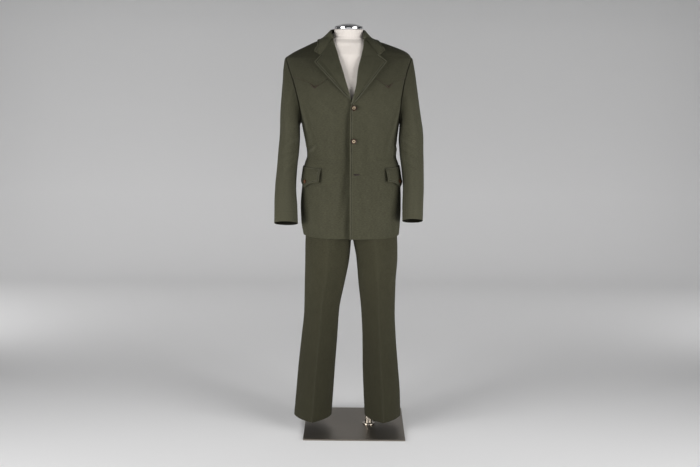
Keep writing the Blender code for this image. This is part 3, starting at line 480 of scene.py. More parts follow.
# The jacket body: half width, front and back depth of each level, on a centre line
jacketShape = {
    "wall": 0.0019,
    "seamDip": 0.0011,
    "seamReach": 0.0026,
    "layerGap": 0.0009,
    "levels": [
        (0.749, 0.0064, 0.1780, 0.128, 0.132, 2.25),
        (0.800, 0.0040, 0.1825, 0.130, 0.137, 2.25),
        (0.860, 0.0040, 0.1850, 0.130, 0.140, 2.25),
        (0.920, 0.0055, 0.1840, 0.127, 0.136, 2.25),
        (0.970, 0.0058, 0.1810, 0.122, 0.126, 2.25),
        (1.010, 0.0057, 0.1757, 0.117, 0.115, 2.20),
        (1.045, 0.0055, 0.1655, 0.114, 0.107, 2.20),
        (1.100, 0.0020, 0.1690, 0.116, 0.108, 2.25),
        (1.160, 0.0000, 0.1785, 0.124, 0.118, 2.30),
        (1.220, -0.0020, 0.1920, 0.130, 0.126, 2.30),
        (1.280, -0.0050, 0.2080, 0.131, 0.131, 2.30),
        (1.333, -0.0075, 0.2200, 0.124, 0.132, 2.25),
        (1.373, -0.0090, 0.2290, 0.110, 0.126, 2.15),
        (1.400, -0.0085, 0.2315, 0.097, 0.115, 2.05),
        (1.410, -0.0055, 0.2245, 0.091, 0.110, 2.00),
        (1.420, -0.0015, 0.2130, 0.086, 0.106, 1.95),
        (1.430, 0.0000, 0.1965, 0.081, 0.102, 1.90),
        (1.440, -0.0015, 0.1740, 0.076, 0.098, 1.90),
        (1.450, -0.0050, 0.1500, 0.071, 0.092, 1.90),
        (1.460, -0.0095, 0.1245, 0.067, 0.088, 1.90),
        (1.468, -0.0130, 0.0985, 0.062, 0.084, 1.95),
        (1.474, -0.0140, 0.0815, 0.058, 0.080, 2.00),
    ],
    "frontEdges": [
        (0.749, 0.0010, 0.0300),
        (1.150, -0.0015, 0.0300),
        (1.220, -0.0012, 0.0142),
        (1.245, 0.0035, 0.0062),
        (1.310, 0.0204, -0.0144),
        (1.363, 0.0268, -0.0313),
        (1.427, 0.0420, -0.0517),
        (1.472, 0.0485, -0.0663),
    ],
    "hemZ": 0.749,
    "neckZ": 1.472,
    "underarmZ": 1.166,
    "shoulderPointZ": 1.408,
    "sideSeam": 97.0,
    "shoulderSeam": 92.0,
    "armSteps": 8,
    "yokeStep": 5,
    "frontScoop": 28.0,
    "backScoop": 27.0,
    "yokePoint": {left: (0.1349, 1.3023), right: (-0.1296, 1.2993)},
    "yokeRise": ((0.158, 0.60), (0.522, 0.90)),  # outwards and inwards of the point
    "yokeReach": 0.080,
    "rows": (92, 36, 24, 20),  # below the arm, to the yoke's row, to the shoulder point, above
    "columns": {"front": 74, "back": 76},
    "crowd": 0.72,
    "stitchIn": 0.006,
    "edgeTopZ": 1.236,  # the front edge's stitching ends below the lapel
    "lineTopZ": 1.232,
    "tuck": ((0.0006, 0.0005), (0.0021, 0.0050)),  # inwards and up, behind the yoke
    "proud": (0.0022, 0.009),  # height and reach of the free edge's swell
    "yokeLift": (0.0016, 0.010),
    "yokeStitch": (0.0022, 0.0003, 0.0008),  # inset, depth and width
    "neckCalm": (1.450, 1.425),  # by the neck the form is close behind, so seams don't dip
}
# Depth backwards, across from and to, and the heights between which it fades: the right front
# lies under the left, deepest in the trough beside the left front's free edge, which stands off
overlapShape = {
    right: [(0.0050, -0.075, -0.010, 1.262, 1.330), (0.0052, -0.048, -0.006, 1.17, 1.25)],
    left: [(-0.0055, 0.060, 0.004, 1.09, 1.21)],
}
foldFade = {"back": (181.0, 172.0), "front": (1.0, 8.0), "shoulder": (1.41, 1.36)}
metresPerTurn = 0.0031  # metres for a degree round the body

# start across (turn) and height, end across and height, width and height of each fold
bodyFolds = {
    left: [
        (3, 0.990, 9, 0.740, 0.016, 0.0016),
        (12, 1.210, 20, 0.980, 0.017, -0.0022),
        (70, 1.250, 52, 1.040, 0.014, 0.0026),
        (84, 1.190, 76, 1.020, 0.010, 0.0022),
        (93, 1.060, 62, 1.085, 0.008, 0.0017),
        (88, 1.035, 66, 1.052, 0.007, -0.0014),
        (60, 0.930, 55, 0.730, 0.022, -0.0020),
        (82, 0.920, 86, 0.730, 0.018, 0.0024),
        (30, 0.960, 24, 0.730, 0.020, -0.0012),
        (118, 1.330, 104, 1.120, 0.014, 0.0032),
        (132, 1.260, 120, 1.050, 0.016, -0.0028),
        (150, 1.180, 132, 1.010, 0.018, 0.0020),
        (172, 1.100, 140, 1.060, 0.010, 0.0018),
        (168, 1.065, 138, 1.035, 0.009, -0.0016),
        (126, 0.960, 118, 0.730, 0.024, 0.0026),
        (156, 0.960, 160, 0.730, 0.022, -0.0022),
    ],
    right: [
        (4, 1.000, 14, 0.735, 0.017, -0.0030),
        (10, 1.200, 17, 0.985, 0.018, -0.0024),
        (66, 1.240, 54, 1.060, 0.015, 0.0026),
        (83, 1.200, 72, 1.030, 0.011, 0.0020),
        (78, 1.045, 46, 1.088, 0.008, 0.0030),
        (90, 1.062, 58, 1.062, 0.009, -0.0016),
        (62, 0.930, 60, 0.730, 0.021, -0.0018),
        (84, 0.930, 80, 0.730, 0.017, 0.0026),
        (36, 0.950, 33, 0.730, 0.020, 0.0012),
        (116, 1.320, 106, 1.110, 0.014, 0.0030),
        (134, 1.250, 119, 1.060, 0.017, -0.0026),
        (149, 1.200, 136, 1.020, 0.019, 0.0022),
        (174, 1.085, 146, 1.055, 0.010, 0.0015),
        (122, 0.950, 124, 0.730, 0.025, 0.0024),
        (152, 0.970, 154, 0.730, 0.022, -0.0020),
    ],
}
bodyLevels = smoothCurve(jacketShape["levels"])
edgeLevels = smoothCurve(jacketShape["frontEdges"])
neckZ = jacketShape["neckZ"]


def ringPoint(levels, side, turn, z):
    turn, z = np.broadcast_arrays(np.asarray(turn, float), np.asarray(z, float))
    centre, half, front, back, power = levels(z)
    across = np.sin(np.radians(turn))
    along = np.cos(np.radians(turn))
    depth = np.where(along > 0, front, back)
    x = centre + side * half * signedPower(across, 2 / power)
    return np.stack([x, -depth * signedPower(along, 2 / power), z], -1)


def ringTurn(levels, side, x, z):
    centre, half, _, _, power = levels(np.asarray(z, float))
    across = np.clip(side * (x - centre) / half, -1, 1)
    return np.degrees(np.arcsin(signedPower(across, power / 2)))


def outwardAt(place, side, turn, z, step):
    around = place(side, turn + step, z) - place(side, turn - step, z)
    up = place(side, turn, z + 0.001) - place(side, turn, z - 0.001)
    return unit(np.cross(around, up) * side)


def radial(levels, side, turn, z):
    return outwardAt(lambda *spot: ringPoint(levels, *spot), side, turn, z, 0.4)


def bodyPoint(side, turn, z):
    turn, z = np.broadcast_arrays(np.asarray(turn, float), np.asarray(z, float))
    point = ringPoint(bodyLevels, side, turn, z)
    for depth, far, near, low, high in overlapShape[side]:
        share = smoothStep(far, near, point[..., 0]) * smoothStep(high, low, z) * (turn < 90)
        point[..., 1] += depth * share
    across = np.clip(turn, -5, 185) * metresPerTurn
    relief = foldStrength["body"] * foldRelief(bodyFolds[side], metresPerTurn, across, z)
    relief = relief * smoothStep(*foldFade["back"], turn) * smoothStep(*foldFade["shoulder"], z)
    if side == right:
        relief = relief * smoothStep(*foldFade["front"], turn)
    return raised(point, radial(bodyLevels, side, turn, z), relief)


def bodyNormal(side, turn, z):
    return outwardAt(bodyPoint, side, turn, z, 0.35)


def armStation(step):
    shape = jacketShape
    lift = np.pi * step / shape["armSteps"]
    middle = (shape["underarmZ"] + shape["shoulderPointZ"]) / 2
    reach = (shape["shoulderPointZ"] - shape["underarmZ"]) / 2
    seam = shape["sideSeam"] + (shape["shoulderSeam"] - shape["sideSeam"]) * step / shape["armSteps"]
    scoop = np.abs(np.sin(lift)) ** 0.8
    front, back = seam - shape["frontScoop"] * scoop, seam + shape["backScoop"] * scoop
    return middle - reach * np.cos(lift), front, back


def bodyStations():
    shape = jacketShape
    lowRows, yokeRows, armRows, highRows = shape["rows"]
    low = spread(shape["hemZ"], shape["underarmZ"], lowRows, 0.5)[:-1]
    yokeStep, armSteps = shape["yokeStep"], shape["armSteps"]
    steps = [np.linspace(0, yokeStep, yokeRows)[:-1], np.linspace(yokeStep, armSteps, armRows)]
    z, front, back = armStation(np.concatenate(steps))
    high = np.linspace(shape["shoulderPointZ"], neckZ, highRows)[1:]
    seam = np.full(len(low), shape["sideSeam"])
    top = np.full(len(high), shape["shoulderSeam"])
    columns = [np.concatenate(parts) for parts in ((low, z, high), (seam, front, top), (seam, back, top))]
    return (*columns, len(low) + yokeRows - 1)


def rollX(side, z):
    return edgeLevels(np.asarray(z, float))[0 if side == left else 1]


def yokeHeight(side, x):
    pointX, pointZ = jacketShape["yokePoint"][side]
    away = side * (x - pointX)
    outer, inner = (rise * np.abs(away) ** power for rise, power in jacketShape["yokeRise"])
    return pointZ + np.where(away > 0, outer, inner)


def frontPlace(side, z, limit, t):
    yokeZ = armStation(jacketShape["yokeStep"])[0]
    start = ringTurn(bodyLevels, side, rollX(side, z), z)
    x = ringPoint(bodyLevels, side, start + t * (limit - start), np.full_like(start + t, yokeZ))[..., 0]
    pull = np.clip(1 - np.abs(z - yokeZ) / jacketShape["yokeReach"], 0, None) * (1 - t**6)
    height = z + pull * (yokeHeight(side, x) - yokeZ)
    start = ringTurn(bodyLevels, side, rollX(side, height), height)
    return start + t * (limit - start), height


def edgeWays(points):
    # Distance along the cloth from the first and last row, and the first and last column
    u, v = lengthsTo(points, 1), lengthsTo(points, 0)
    return [v, v[-1:] - v, u, u[:, -1:] - u]


def seamGroove(points, normals, edges):
    # Draws the cloth in where it turns under at a seam; edges are first/last row, first/last column
    dip = np.zeros(points.shape[:2])
    for marked, distance in zip(edges, edgeWays(points)):
        if marked:
            dip = np.maximum(dip, marked * bell(distance, jacketShape["seamReach"]))
    calm = smoothStep(*jacketShape["neckCalm"], points[..., 2])
    return raised(points, normals, -jacketShape["seamDip"] * dip * calm)


def topstitched(points, normals, distance, inset, depth=0.0013, width=0.0014):
    # A sewn line presses the cloth down, and the edge beyond it stands a little proud
    press = depth * bell(distance - inset, width)
    swell = 0.7 * depth * smoothStep(inset, inset * 0.5, distance)
    return raised(points, normals, swell - press)


def edgeDistance(points, columns=(False, False), rows=(False, False)):
    nearest = np.full(points.shape[:2], 1.0)
    for marked, distance in zip((*rows, *columns), edgeWays(points)):
        if marked:
            nearest = np.minimum(nearest, distance)
    return nearest


def wornCloth(node, points, normals, wall, finish, cut, held, restsOn, **shell):
    piece = clothShell(node, points, normals, wall, finish, **shell)
    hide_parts(node)


threads = {}


def stitchRun(group, path, normals, pitch=0.0034, share=0.72, radius=0.00032):
    # Small separate stitches along a path, kept until the group's one mesh is made
    if np.ndim(normals) == 1:
        normals = np.tile(unit(np.array(normals, float)), (len(path), 1))
    place = lengthsTo(path, 0)
    for start in np.arange(0, place[-1] - pitch, pitch):
        ends = []
        for distance in np.linspace(start, start + pitch * share, 5):
            ends.append((between(distance, place, path), unit(between(distance, place, normals))))
        threads.setdefault(group, []).append((ends, radius))


def stitchMesh(group, finish):
    sides = 6
    points = []
    faces = []
    for ends, radius in threads.pop(group):
        first, last = ends[0][0], ends[-1][0]
        run = unit(last - first)
        base = len(points)
        for i, (spot, normal) in enumerate(ends):
            swell = (0.35, 0.9, 1.0, 0.9, 0.35)[i]
            across = unit(np.cross(run, normal))
            centre = spot + normal * radius * (0.9 * swell - 0.35)
            for k in range(sides):
                turn = 2 * math.pi * k / sides
                points.append(centre + (across * math.cos(turn) + normal * math.sin(turn)) * radius * swell)
        for i in range(len(ends) - 1):
            for k in range(sides):
                a, b = base + i * sides + k, base + i * sides + (k + 1) % sides
                faces.append((a, b, b + sides, a + sides))
        faces.append(tuple(base + k for k in range(sides))[::-1])
        faces.append(tuple(base + (len(ends) - 1) * sides + k for k in range(sides)))
    return addMesh(group, points, faces, finish)


def gridLine(points, distance, level, rowFirst=True):
    # The points at a set distance from an edge, one for each row (or column)
    if not rowFirst:
        points, distance = points.swapaxes(0, 1), distance.T
    orders = np.argsort(distance, axis=1)
    return np.array([between(level, d[o], line[o]) for line, d, o in zip(points, distance, orders)])


def makeFronts(side):
    shape = jacketShape
    z, front, _, yokeRow = bodyStations()
    t = spread(0, 1, shape["columns"]["front"], shape["crowd"])
    name = sideName[side]
    for part, rows in (("front", slice(0, yokeRow + 1)), ("yoke", slice(yokeRow, None))):
        turn, height = frontPlace(side, z[rows, None], front[rows, None], t[None, :])
        points = bodyPoint(side, turn, height)
        normals = bodyNormal(side, turn, height)
        if part == "front":
            # Behind the yoke the front runs on a little, below its edge
            edge, edgeNormal = points[-1:], normals[-1:]
            tuck = [edge - edgeNormal * deep + np.array([0, 0, up]) for deep, up in shape["tuck"]]
            points = np.concatenate([points, *tuck])
            normals = np.concatenate([normals, edgeNormal, edgeNormal])
            height = np.concatenate([height, height[-1:], height[-1:]])
            distance = edgeDistance(points, columns=(True, False)) + 0.5 * (height > shape["edgeTopZ"])
            points = topstitched(points, normals, distance, shape["stitchIn"])
            if side == left:
                swell, reach = shape["proud"]
                points = raised(points, normals, swell * bell(distance, reach))
            points = seamGroove(points, normals, (0, 0, 0, 1))
            if side == left:
                low = slice(0, yokeRow - 20)
                line = gridLine(points[low], distance[low], shape["stitchIn"])
                stitchRun("stitches_front_left", line[line[:, 2] < shape["lineTopZ"]], (0, -1, 0))
        else:
            lift, reach = shape["yokeLift"]
            distance = edgeDistance(points, rows=(True, False))
            points = raised(points, normals, lift * bell(distance, reach))
            distance = edgeDistance(points, rows=(True, False))
            points = topstitched(points, normals, distance, *shape["yokeStitch"])
            points = seamGroove(points, normals, (0, 0, 0, 1))
            distance = edgeDistance(points, rows=(True, False))
            line = gridLine(points, distance, shape["yokeStitch"][0], rowFirst=False)[2:-3]
            way = (side * 0.35, -1.0, 0.25)
            stitchRun("stitches_yoke_" + name, line, way, pitch=0.0030, radius=0.00048)
        cut = "jacket_" + part
        wornCloth(f"{cut}_{name}", points, normals, shape["wall"], wool, cut, "hung", ["dress_form"])


def makeBack(side):
    shape = jacketShape
    z, _, back, _ = bodyStations()
    t = spread(0, 1, shape["columns"]["back"], shape["crowd"])
    turn = back[:, None] + (180 - back[:, None]) * t[None, :]
    height = np.broadcast_to(z[:, None], turn.shape)
    normals = bodyNormal(side, turn, height)
    points = seamGroove(bodyPoint(side, turn, height), normals, (0, 0, 1, 1))
    cut = "jacket_back"
    wornCloth(f"{cut}_{sideName[side]}", points, normals, shape["wall"], wool, cut, "hung", ["dress_form"])


for wearerSide in (left, right):
    makeFronts(wearerSide)
    makeBack(wearerSide)
print("jacket body made")

lapelShape = {
    left: {"start": (0.0118, 1.2430), "tip": (0.1300, 1.3922), "notch": (0.0981, 1.4171)},
    right: {"start": (-0.0020, 1.2570), "tip": (-0.1317, 1.3875), "notch": (-0.1074, 1.4160)},
    "thick": 0.0024,
    "roll": 0.0017,
    "rollTurn": 150,
    "stitchIn": 0.006,
    "topZ": 1.470,
    "notchAt": 0.6,
    "points": (74, 46, 7),  # rows, columns, and columns of the roll
    "ease": (0.0015, 0.26, 0.40),  # over the yoke: height, and the share up between which it grows
    "belly": 0.0030,
    "free": 0.0046,
}


def onBody(side, x, z, lift):
    turn = ringTurn(bodyLevels, side, x, z)
    return raised(bodyPoint(side, turn, z), bodyNormal(side, turn, z), np.asarray(lift))


def makeLapel(side):
    shape = {**lapelShape, **lapelShape[side]}
    rows, columns, rollColumns = shape["points"]
    topZ, notchAt, thick = shape["topZ"], shape["notchAt"], shape["thick"]
    top = (float(rollX(side, topZ)), topZ)
    s = spread(0, 1, rows, 0.5)[:, None]
    q = spread(0, 1, columns, 0.4)[None, :]
    startZ = shape["start"][1]
    z = startZ + s * (topZ - startZ)
    pull = smoothStep(0.75, 1.0, s) * smoothStep(0.0, 0.08, q)
    place = []
    for axis, inner in enumerate((rollX(side, z), z)):
        tip = shape["start"][axis] + s * (shape["tip"][axis] - shape["start"][axis])
        straight = inner + q * (tip - inner)
        notch = shape["notch"][axis]
        first = top[axis] + q / notchAt * (notch - top[axis])
        second = notch + (q - notchAt) / (1 - notchAt) * (shape["tip"][axis] - notch)
        place.append(straight + pull * (np.where(q < notchAt, first, second) - straight))
    easeUp, easeFrom, easeTo = shape["ease"]
    ease = easeUp * smoothStep(easeFrom, easeTo, s)
    belly = shape["belly"] * bell(s - 0.10, 0.12) * bell(q - 0.05, 0.35)
    free = shape["free"] * smoothStep(0.72, 1.0, q) * smoothStep(0.02, 0.2, s)
    free = free * (1 - 0.5 * smoothStep(0.75, 1.0, s))
    lift = jacketShape["layerGap"] + thick + ease + belly + free + 0.0006 * np.sin(np.pi * q)
    outer = onBody(side, *place, lift + np.zeros_like(place[0]))
    normals = facing(gridNormals(outer) * side, (rows // 2, columns // 2), (0, -1, 0))
    endDistance = edgeDistance(outer, rows=(False, True)) + 0.5 * (q < notchAt)
    distance = np.minimum(edgeDistance(outer, columns=(False, True)), endDistance)
    outer = topstitched(outer, normals, distance, shape["stitchIn"])
    line = gridLine(outer, edgeDistance(outer, columns=(False, True)), shape["stitchIn"])[4:-3]
    stitchRun("stitches_lapel_" + sideName[side], line, (side * 0.25, -1.0, 0.2))
    outer = seamGroove(outer, normals, (0, 0.4, 0, 0))
    # The roll: the cloth turns back round the front's edge
    toEdge = unit(outer[:, :1] - outer[:, 3:4])
    radius = (shape["roll"] + 0.5 * ease)[..., None]
    rollPoints = []
    rollNormals = []
    for k in range(rollColumns, 0, -1):
        turn = math.radians(shape["rollTurn"]) * k / rollColumns
        shift = toEdge * math.sin(turn) * radius - normals[:, :1] * (1 - math.cos(turn)) * radius
        rollPoints.append(outer[:, :1] + shift)
        rollNormals.append(unit(toEdge * math.sin(turn) + normals[:, :1] * math.cos(turn)))
    points = np.concatenate(rollPoints + [outer], axis=1)
    normals = np.concatenate(rollNormals + [normals], axis=1)
    node, front = (f"jacket_{part}_{sideName[side]}" for part in ("lapel", "front"))
    wornCloth(node, points, normals, thick * 0.9, woolLapelShaded, "jacket_lapel", "folded", [front])


collarShape = {
    "wall": 0.0021,
    "stitchIn": 0.006,
    "neckX": -0.013,
    "crownRadius": 0.0030,
    "points": (64, 52),  # round each half, and across from the free edge to the foot inside
    "seamLift": (0.0042, 0.0010),
    "restLift": 0.0014,
    "fallPoints": 20,
    "endPoints": 6,
    "frontLift": (0.0026, 0.010),
    "corner": {left: (0.1212, 1.4300), right: (-0.1318, 1.4245)},
    # along, turn and height of the free edge, turn of the neck seam, and the crown's place
    "stations": [
        (0.00, 39.0, 1.4240, 39.0, 0.0550, -0.0520, 1.4785),
        (0.20, 51.0, 1.4500, 56.0, 0.0595, -0.0340, 1.4925),
        (0.40, 70.0, 1.4620, 76.0, 0.0620, -0.0120, 1.5000),
        (0.55, 93.0, 1.4655, 95.0, 0.0620, 0.0080, 1.5035),
        (0.75, 131.0, 1.4610, 134.0, 0.0500, 0.0450, 1.5065),
        (1.00, 180.0, 1.4550, 180.0, 0.0000, 0.0665, 1.5075),
    ],
}
collarLevels = smoothCurve(collarShape["stations"])


def collarSection(side, along):
    shape = collarShape
    fallTurn, fallZ, seamTurn, crownX, crownY, crownZ = (float(v) for v in collarLevels(np.array(along)))
    seamLift = shape["seamLift"][0] + shape["seamLift"][1] * float(smoothStep(0.0, 0.4, along))
    rest = jacketShape["layerGap"] + shape["restLift"] + shape["wall"] / 2
    notch = lapelShape[side]["notch"]
    gorgeTop = (float(rollX(side, neckZ)), neckZ)
    middle = [(a + b) / 2 for a, b in zip(notch, gorgeTop)]
    gorge = (shape["corner"][side], notch, middle, gorgeTop)
    end = [(float(ringTurn(bodyLevels, side, x, z)), z) for x, z in gorge]
    fade = 1 - float(smoothStep(0.0, 0.3, along))
    atStart = [float(v) for v in collarLevels(np.array(0.0))]
    startFallTurn, startFallZ, startSeamTurn, startCrownX = atStart[:4]
    line = []
    for i, share in enumerate((0.0, 1 / 3, 2 / 3, 1.0)):
        turn = fallTurn + share * (seamTurn - fallTurn)
        z = fallZ + share * (neckZ - fallZ)
        turn += fade * (end[i][0] - (startFallTurn + share * (startSeamTurn - startFallTurn)))
        z += fade * (end[i][1] - (startFallZ + share * (neckZ - startFallZ)))
        lift = rest + (seamLift - rest) * share**2
        line.append(ringPoint(bodyLevels, side, turn, z) + radial(bodyLevels, side, turn, z) * lift)
    atEdge = side * (gorgeTop[0] - shape["neckX"]) - shape["crownRadius"]
    crownX += fade * (atEdge - startCrownX)
    crown = np.array([shape["neckX"] + side * crownX, crownY, crownZ])
    away = unit(np.array([side * crownX, crownY, 0.0]))
    foot = ringPoint(bodyLevels, side, seamTurn, neckZ) - radial(bodyLevels, side, seamTurn, neckZ) * 0.001
    foot[2] = neckZ + 0.0015
    radius = shape["crownRadius"]
    inner = crown - away * radius - np.array([0, 0, radius * 1.2])
    line += [crown + away * radius - np.array([0, 0, radius * 0.9]), crown, inner, (inner + foot) / 2, foot]
    return np.array(line)


def throughPoints(points, count, flatten=0.5):
    # A smooth line through the points, evenly stepped
    lengths = lengthsTo(points, 0, flatten)
    padded, keys = (
        np.concatenate([[2 * row[0] - row[1]], row, [2 * row[-1] - row[-2]]]) for row in (points, lengths)
    )
    result = []
    for place in np.linspace(0, lengths[-1], count * 4):
        i = min(max(int(np.searchsorted(lengths, place)) - 1, 0), len(points) - 2)

        def blend(a, b, first, second):
            low, high = keys[i + a], keys[i + b]
            return (high - place) / (high - low) * first + (place - low) / (high - low) * second

        legs = [blend(k, k + 1, padded[i + k], padded[i + k + 1]) for k in range(3)]
        result.append(blend(1, 2, blend(0, 2, *legs[:2]), blend(1, 3, *legs[1:])))
    result = np.array(result)
    lengths = lengthsTo(result, 0)
    return between(np.linspace(0, lengths[-1], count), lengths, result)


def makeCollar():
    shape = collarShape
    around, across = shape["points"]
    alongs = spread(0, 1, around, 0.35)
    halves = {}
    for side in (left, right):
        halves[side] = [throughPoints(collarSection(side, along), across) for along in alongs]
    grid = np.array(halves[right] + halves[left][-2::-1])
    normals = facing(gridNormals(grid), (len(grid) // 2, 0), (0, 1, 0))
    outer = grid + normals * shape["wall"] / 2
    column = np.arange(across)[None, :]
    ends = edgeDistance(outer, rows=(True, True)) + 0.5 * (column > shape["endPoints"])
    distance = np.minimum(edgeDistance(outer, columns=(True, False)), ends)
    distance = distance + 0.5 * (column >= shape["fallPoints"])
    roundNeck = np.concatenate([alongs, alongs[-2::-1]])[:, None]
    lift, reach = shape["frontLift"]
    outer = raised(outer, normals, lift * smoothStep(0.16, 0.05, roundNeck) * bell(distance, reach))
    outer = topstitched(outer, normals, distance, shape["stitchIn"])
    fallSide = slice(0, shape["fallPoints"])
    fromEdge = edgeDistance(outer, columns=(True, False))[:, fallSide]
    line = gridLine(outer[:, fallSide], fromEdge, shape["stitchIn"])[3:-3]
    stitchRun("stitches_collar", line, normals[3:-3, 4])
    outer = seamGroove(outer, normals, (0.4, 0.4, 0, 0))
    node, backs = "jacket_collar", ["jacket_back_left", "jacket_back_right"]
    wornCloth(node, outer, normals, shape["wall"], woolCollarLit, node, "folded", backs)


makeLapel(left)
makeLapel(right)
makeCollar()
print("lapels and collar made")

# Sleeves: side limits, front-to-back place and depth, and forward lean down each arm
sleeveShape = {
    left: [
        (0.812, 0.2705, 0.1950, -0.0735, 0.052, 17.0),
        (0.860, 0.2720, 0.1948, -0.0590, 0.057, 17.0),
        (0.930, 0.2735, 0.1965, -0.0380, 0.063, 15.5),
        (1.000, 0.2732, 0.1905, -0.0200, 0.068, 11.5),
        (1.060, 0.2718, 0.1830, -0.0095, 0.072, 7.0),
        (1.110, 0.2710, 0.1795, -0.0045, 0.075, 4.0),
        (1.150, 0.2680, 0.1820, -0.0025, 0.076, 2.0),
    ],
    right: [
        (0.799, 0.2785, 0.1908, -0.0735, 0.052, 17.0),
        (0.860, 0.2788, 0.1940, -0.0550, 0.057, 17.0),
        (0.930, 0.2762, 0.1992, -0.0350, 0.063, 15.0),
        (1.000, 0.2705, 0.1960, -0.0190, 0.068, 11.0),
        (1.060, 0.2668, 0.1895, -0.0095, 0.072, 7.0),
        (1.110, 0.2622, 0.1865, -0.0045, 0.074, 4.0),
        (1.150, 0.2598, 0.1870, -0.0025, 0.075, 2.0),
    ],
    "lean": {left: 0.19, right: 0.02},
    "seams": (2, 11),  # of 16 round the arm, from the inner side by the front
    "seamIn": 0.00015,
    "edgeIn": 0.04,  # of the first step, at the panels' long edges
    "power": 2.2,
    "leave": (-0.3, 0.95, 1.15),  # how far the head turns inwards: under the arm, more behind, in front
    "nearMost": 0.016,
    "rows": (56, 84),  # of the head and of the arm
    # painted shade on the sleeves' inner side
    "insideShade": 1.3,
    "wall": 0.0018,
    "foldPitch": 0.0225,  # metres for a sixteenth
    "fullness": 0.0016,
    "hemLine": (0.0003, 0.036, 0.003),  # depth, height above the cuff and width
    "folds": {
        # across is in sixteenths of the ring, from the inner side by the front
        left: [
            (7.5, 1.350, 6.0, 1.180, 0.016, -0.0030),
            (9.5, 1.330, 9.0, 1.120, 0.018, 0.0026),
            (4.0, 1.300, 4.6, 1.120, 0.014, 0.0030),
            (0.6, 1.130, 5.4, 1.075, 0.010, 0.0034),
            (0.8, 1.085, 5.8, 1.030, 0.009, -0.0030),
            (0.9, 1.050, 4.9, 1.015, 0.009, 0.0026),
            (7.2, 1.060, 6.6, 0.860, 0.018, 0.0016),
            (11.5, 1.250, 10.2, 1.050, 0.016, 0.0030),
            (13.0, 1.180, 10.6, 1.110, 0.012, -0.0030),
            (13.0, 1.100, 10.0, 1.060, 0.011, 0.0026),
            (12.2, 1.020, 11.2, 0.880, 0.014, -0.0020),
            (4.4, 0.990, 4.0, 0.860, 0.014, -0.0016),
        ],
        right: [
            (7.2, 1.355, 6.1, 1.200, 0.013, -0.0040),
            (8.6, 1.345, 8.0, 1.130, 0.017, 0.0034),
            (4.6, 1.300, 5.0, 1.130, 0.014, 0.0032),
            (0.6, 1.120, 5.2, 1.080, 0.010, 0.0032),
            (0.9, 1.075, 5.9, 1.040, 0.009, -0.0028),
            (0.8, 1.045, 4.5, 0.995, 0.010, 0.0028),
            (7.6, 1.040, 7.2, 0.850, 0.018, 0.0018),
            (11.6, 1.240, 10.4, 1.060, 0.016, 0.0028),
            (13.2, 1.170, 10.4, 1.120, 0.012, -0.0028),
            (13.0, 1.110, 10.0, 1.050, 0.011, 0.0030),
            (12.0, 1.030, 11.4, 0.870, 0.014, -0.0022),
            (4.2, 0.980, 4.4, 0.850, 0.014, -0.0018),
        ],
    },
}
sleeveLevels = {side: smoothCurve(sleeveShape[side]) for side in (left, right)}
armPoints = 160


def sleeveRing(side, z):
    outerX, innerX, middleY, depth, lean = (float(v) for v in sleeveLevels[side](np.array(z)))
    turn = np.pi * (1 - 2 * np.arange(armPoints) / armPoints)
    power = 2 / sleeveShape["power"]
    across = signedPower(np.cos(turn), power) * (outerX - innerX) / 2
    ahead = signedPower(np.sin(turn), power) * depth
    tilt = math.radians(lean)
    forward = np.array([0, -math.cos(tilt), math.sin(tilt)])
    middle = np.array([side * (outerX + innerX) / 2, middleY, z])
    return middle + np.stack([side * across, 0 * across, 0 * across], -1) + ahead[:, None] * forward


def armholeLoop(side):
    steps = 2 * jacketShape["armSteps"] * np.arange(armPoints) / armPoints
    fold = np.minimum(steps, 2 * jacketShape["armSteps"] - steps)
    z, front, back = armStation(fold)
    turn = np.where(steps <= jacketShape["armSteps"], front, back)
    points = bodyPoint(side, turn, z)
    normals = bodyNormal(side, turn, z)
    ahead = np.roll(points, -1, axis=0) - np.roll(points, 1, axis=0)
    inward = unit(np.cross(normals, ahead))
    middle = points.mean(axis=0)
    flip = np.sign(np.sum(inward * (middle - points), axis=1, keepdims=True))
    return points, normals, inward * flip, fold


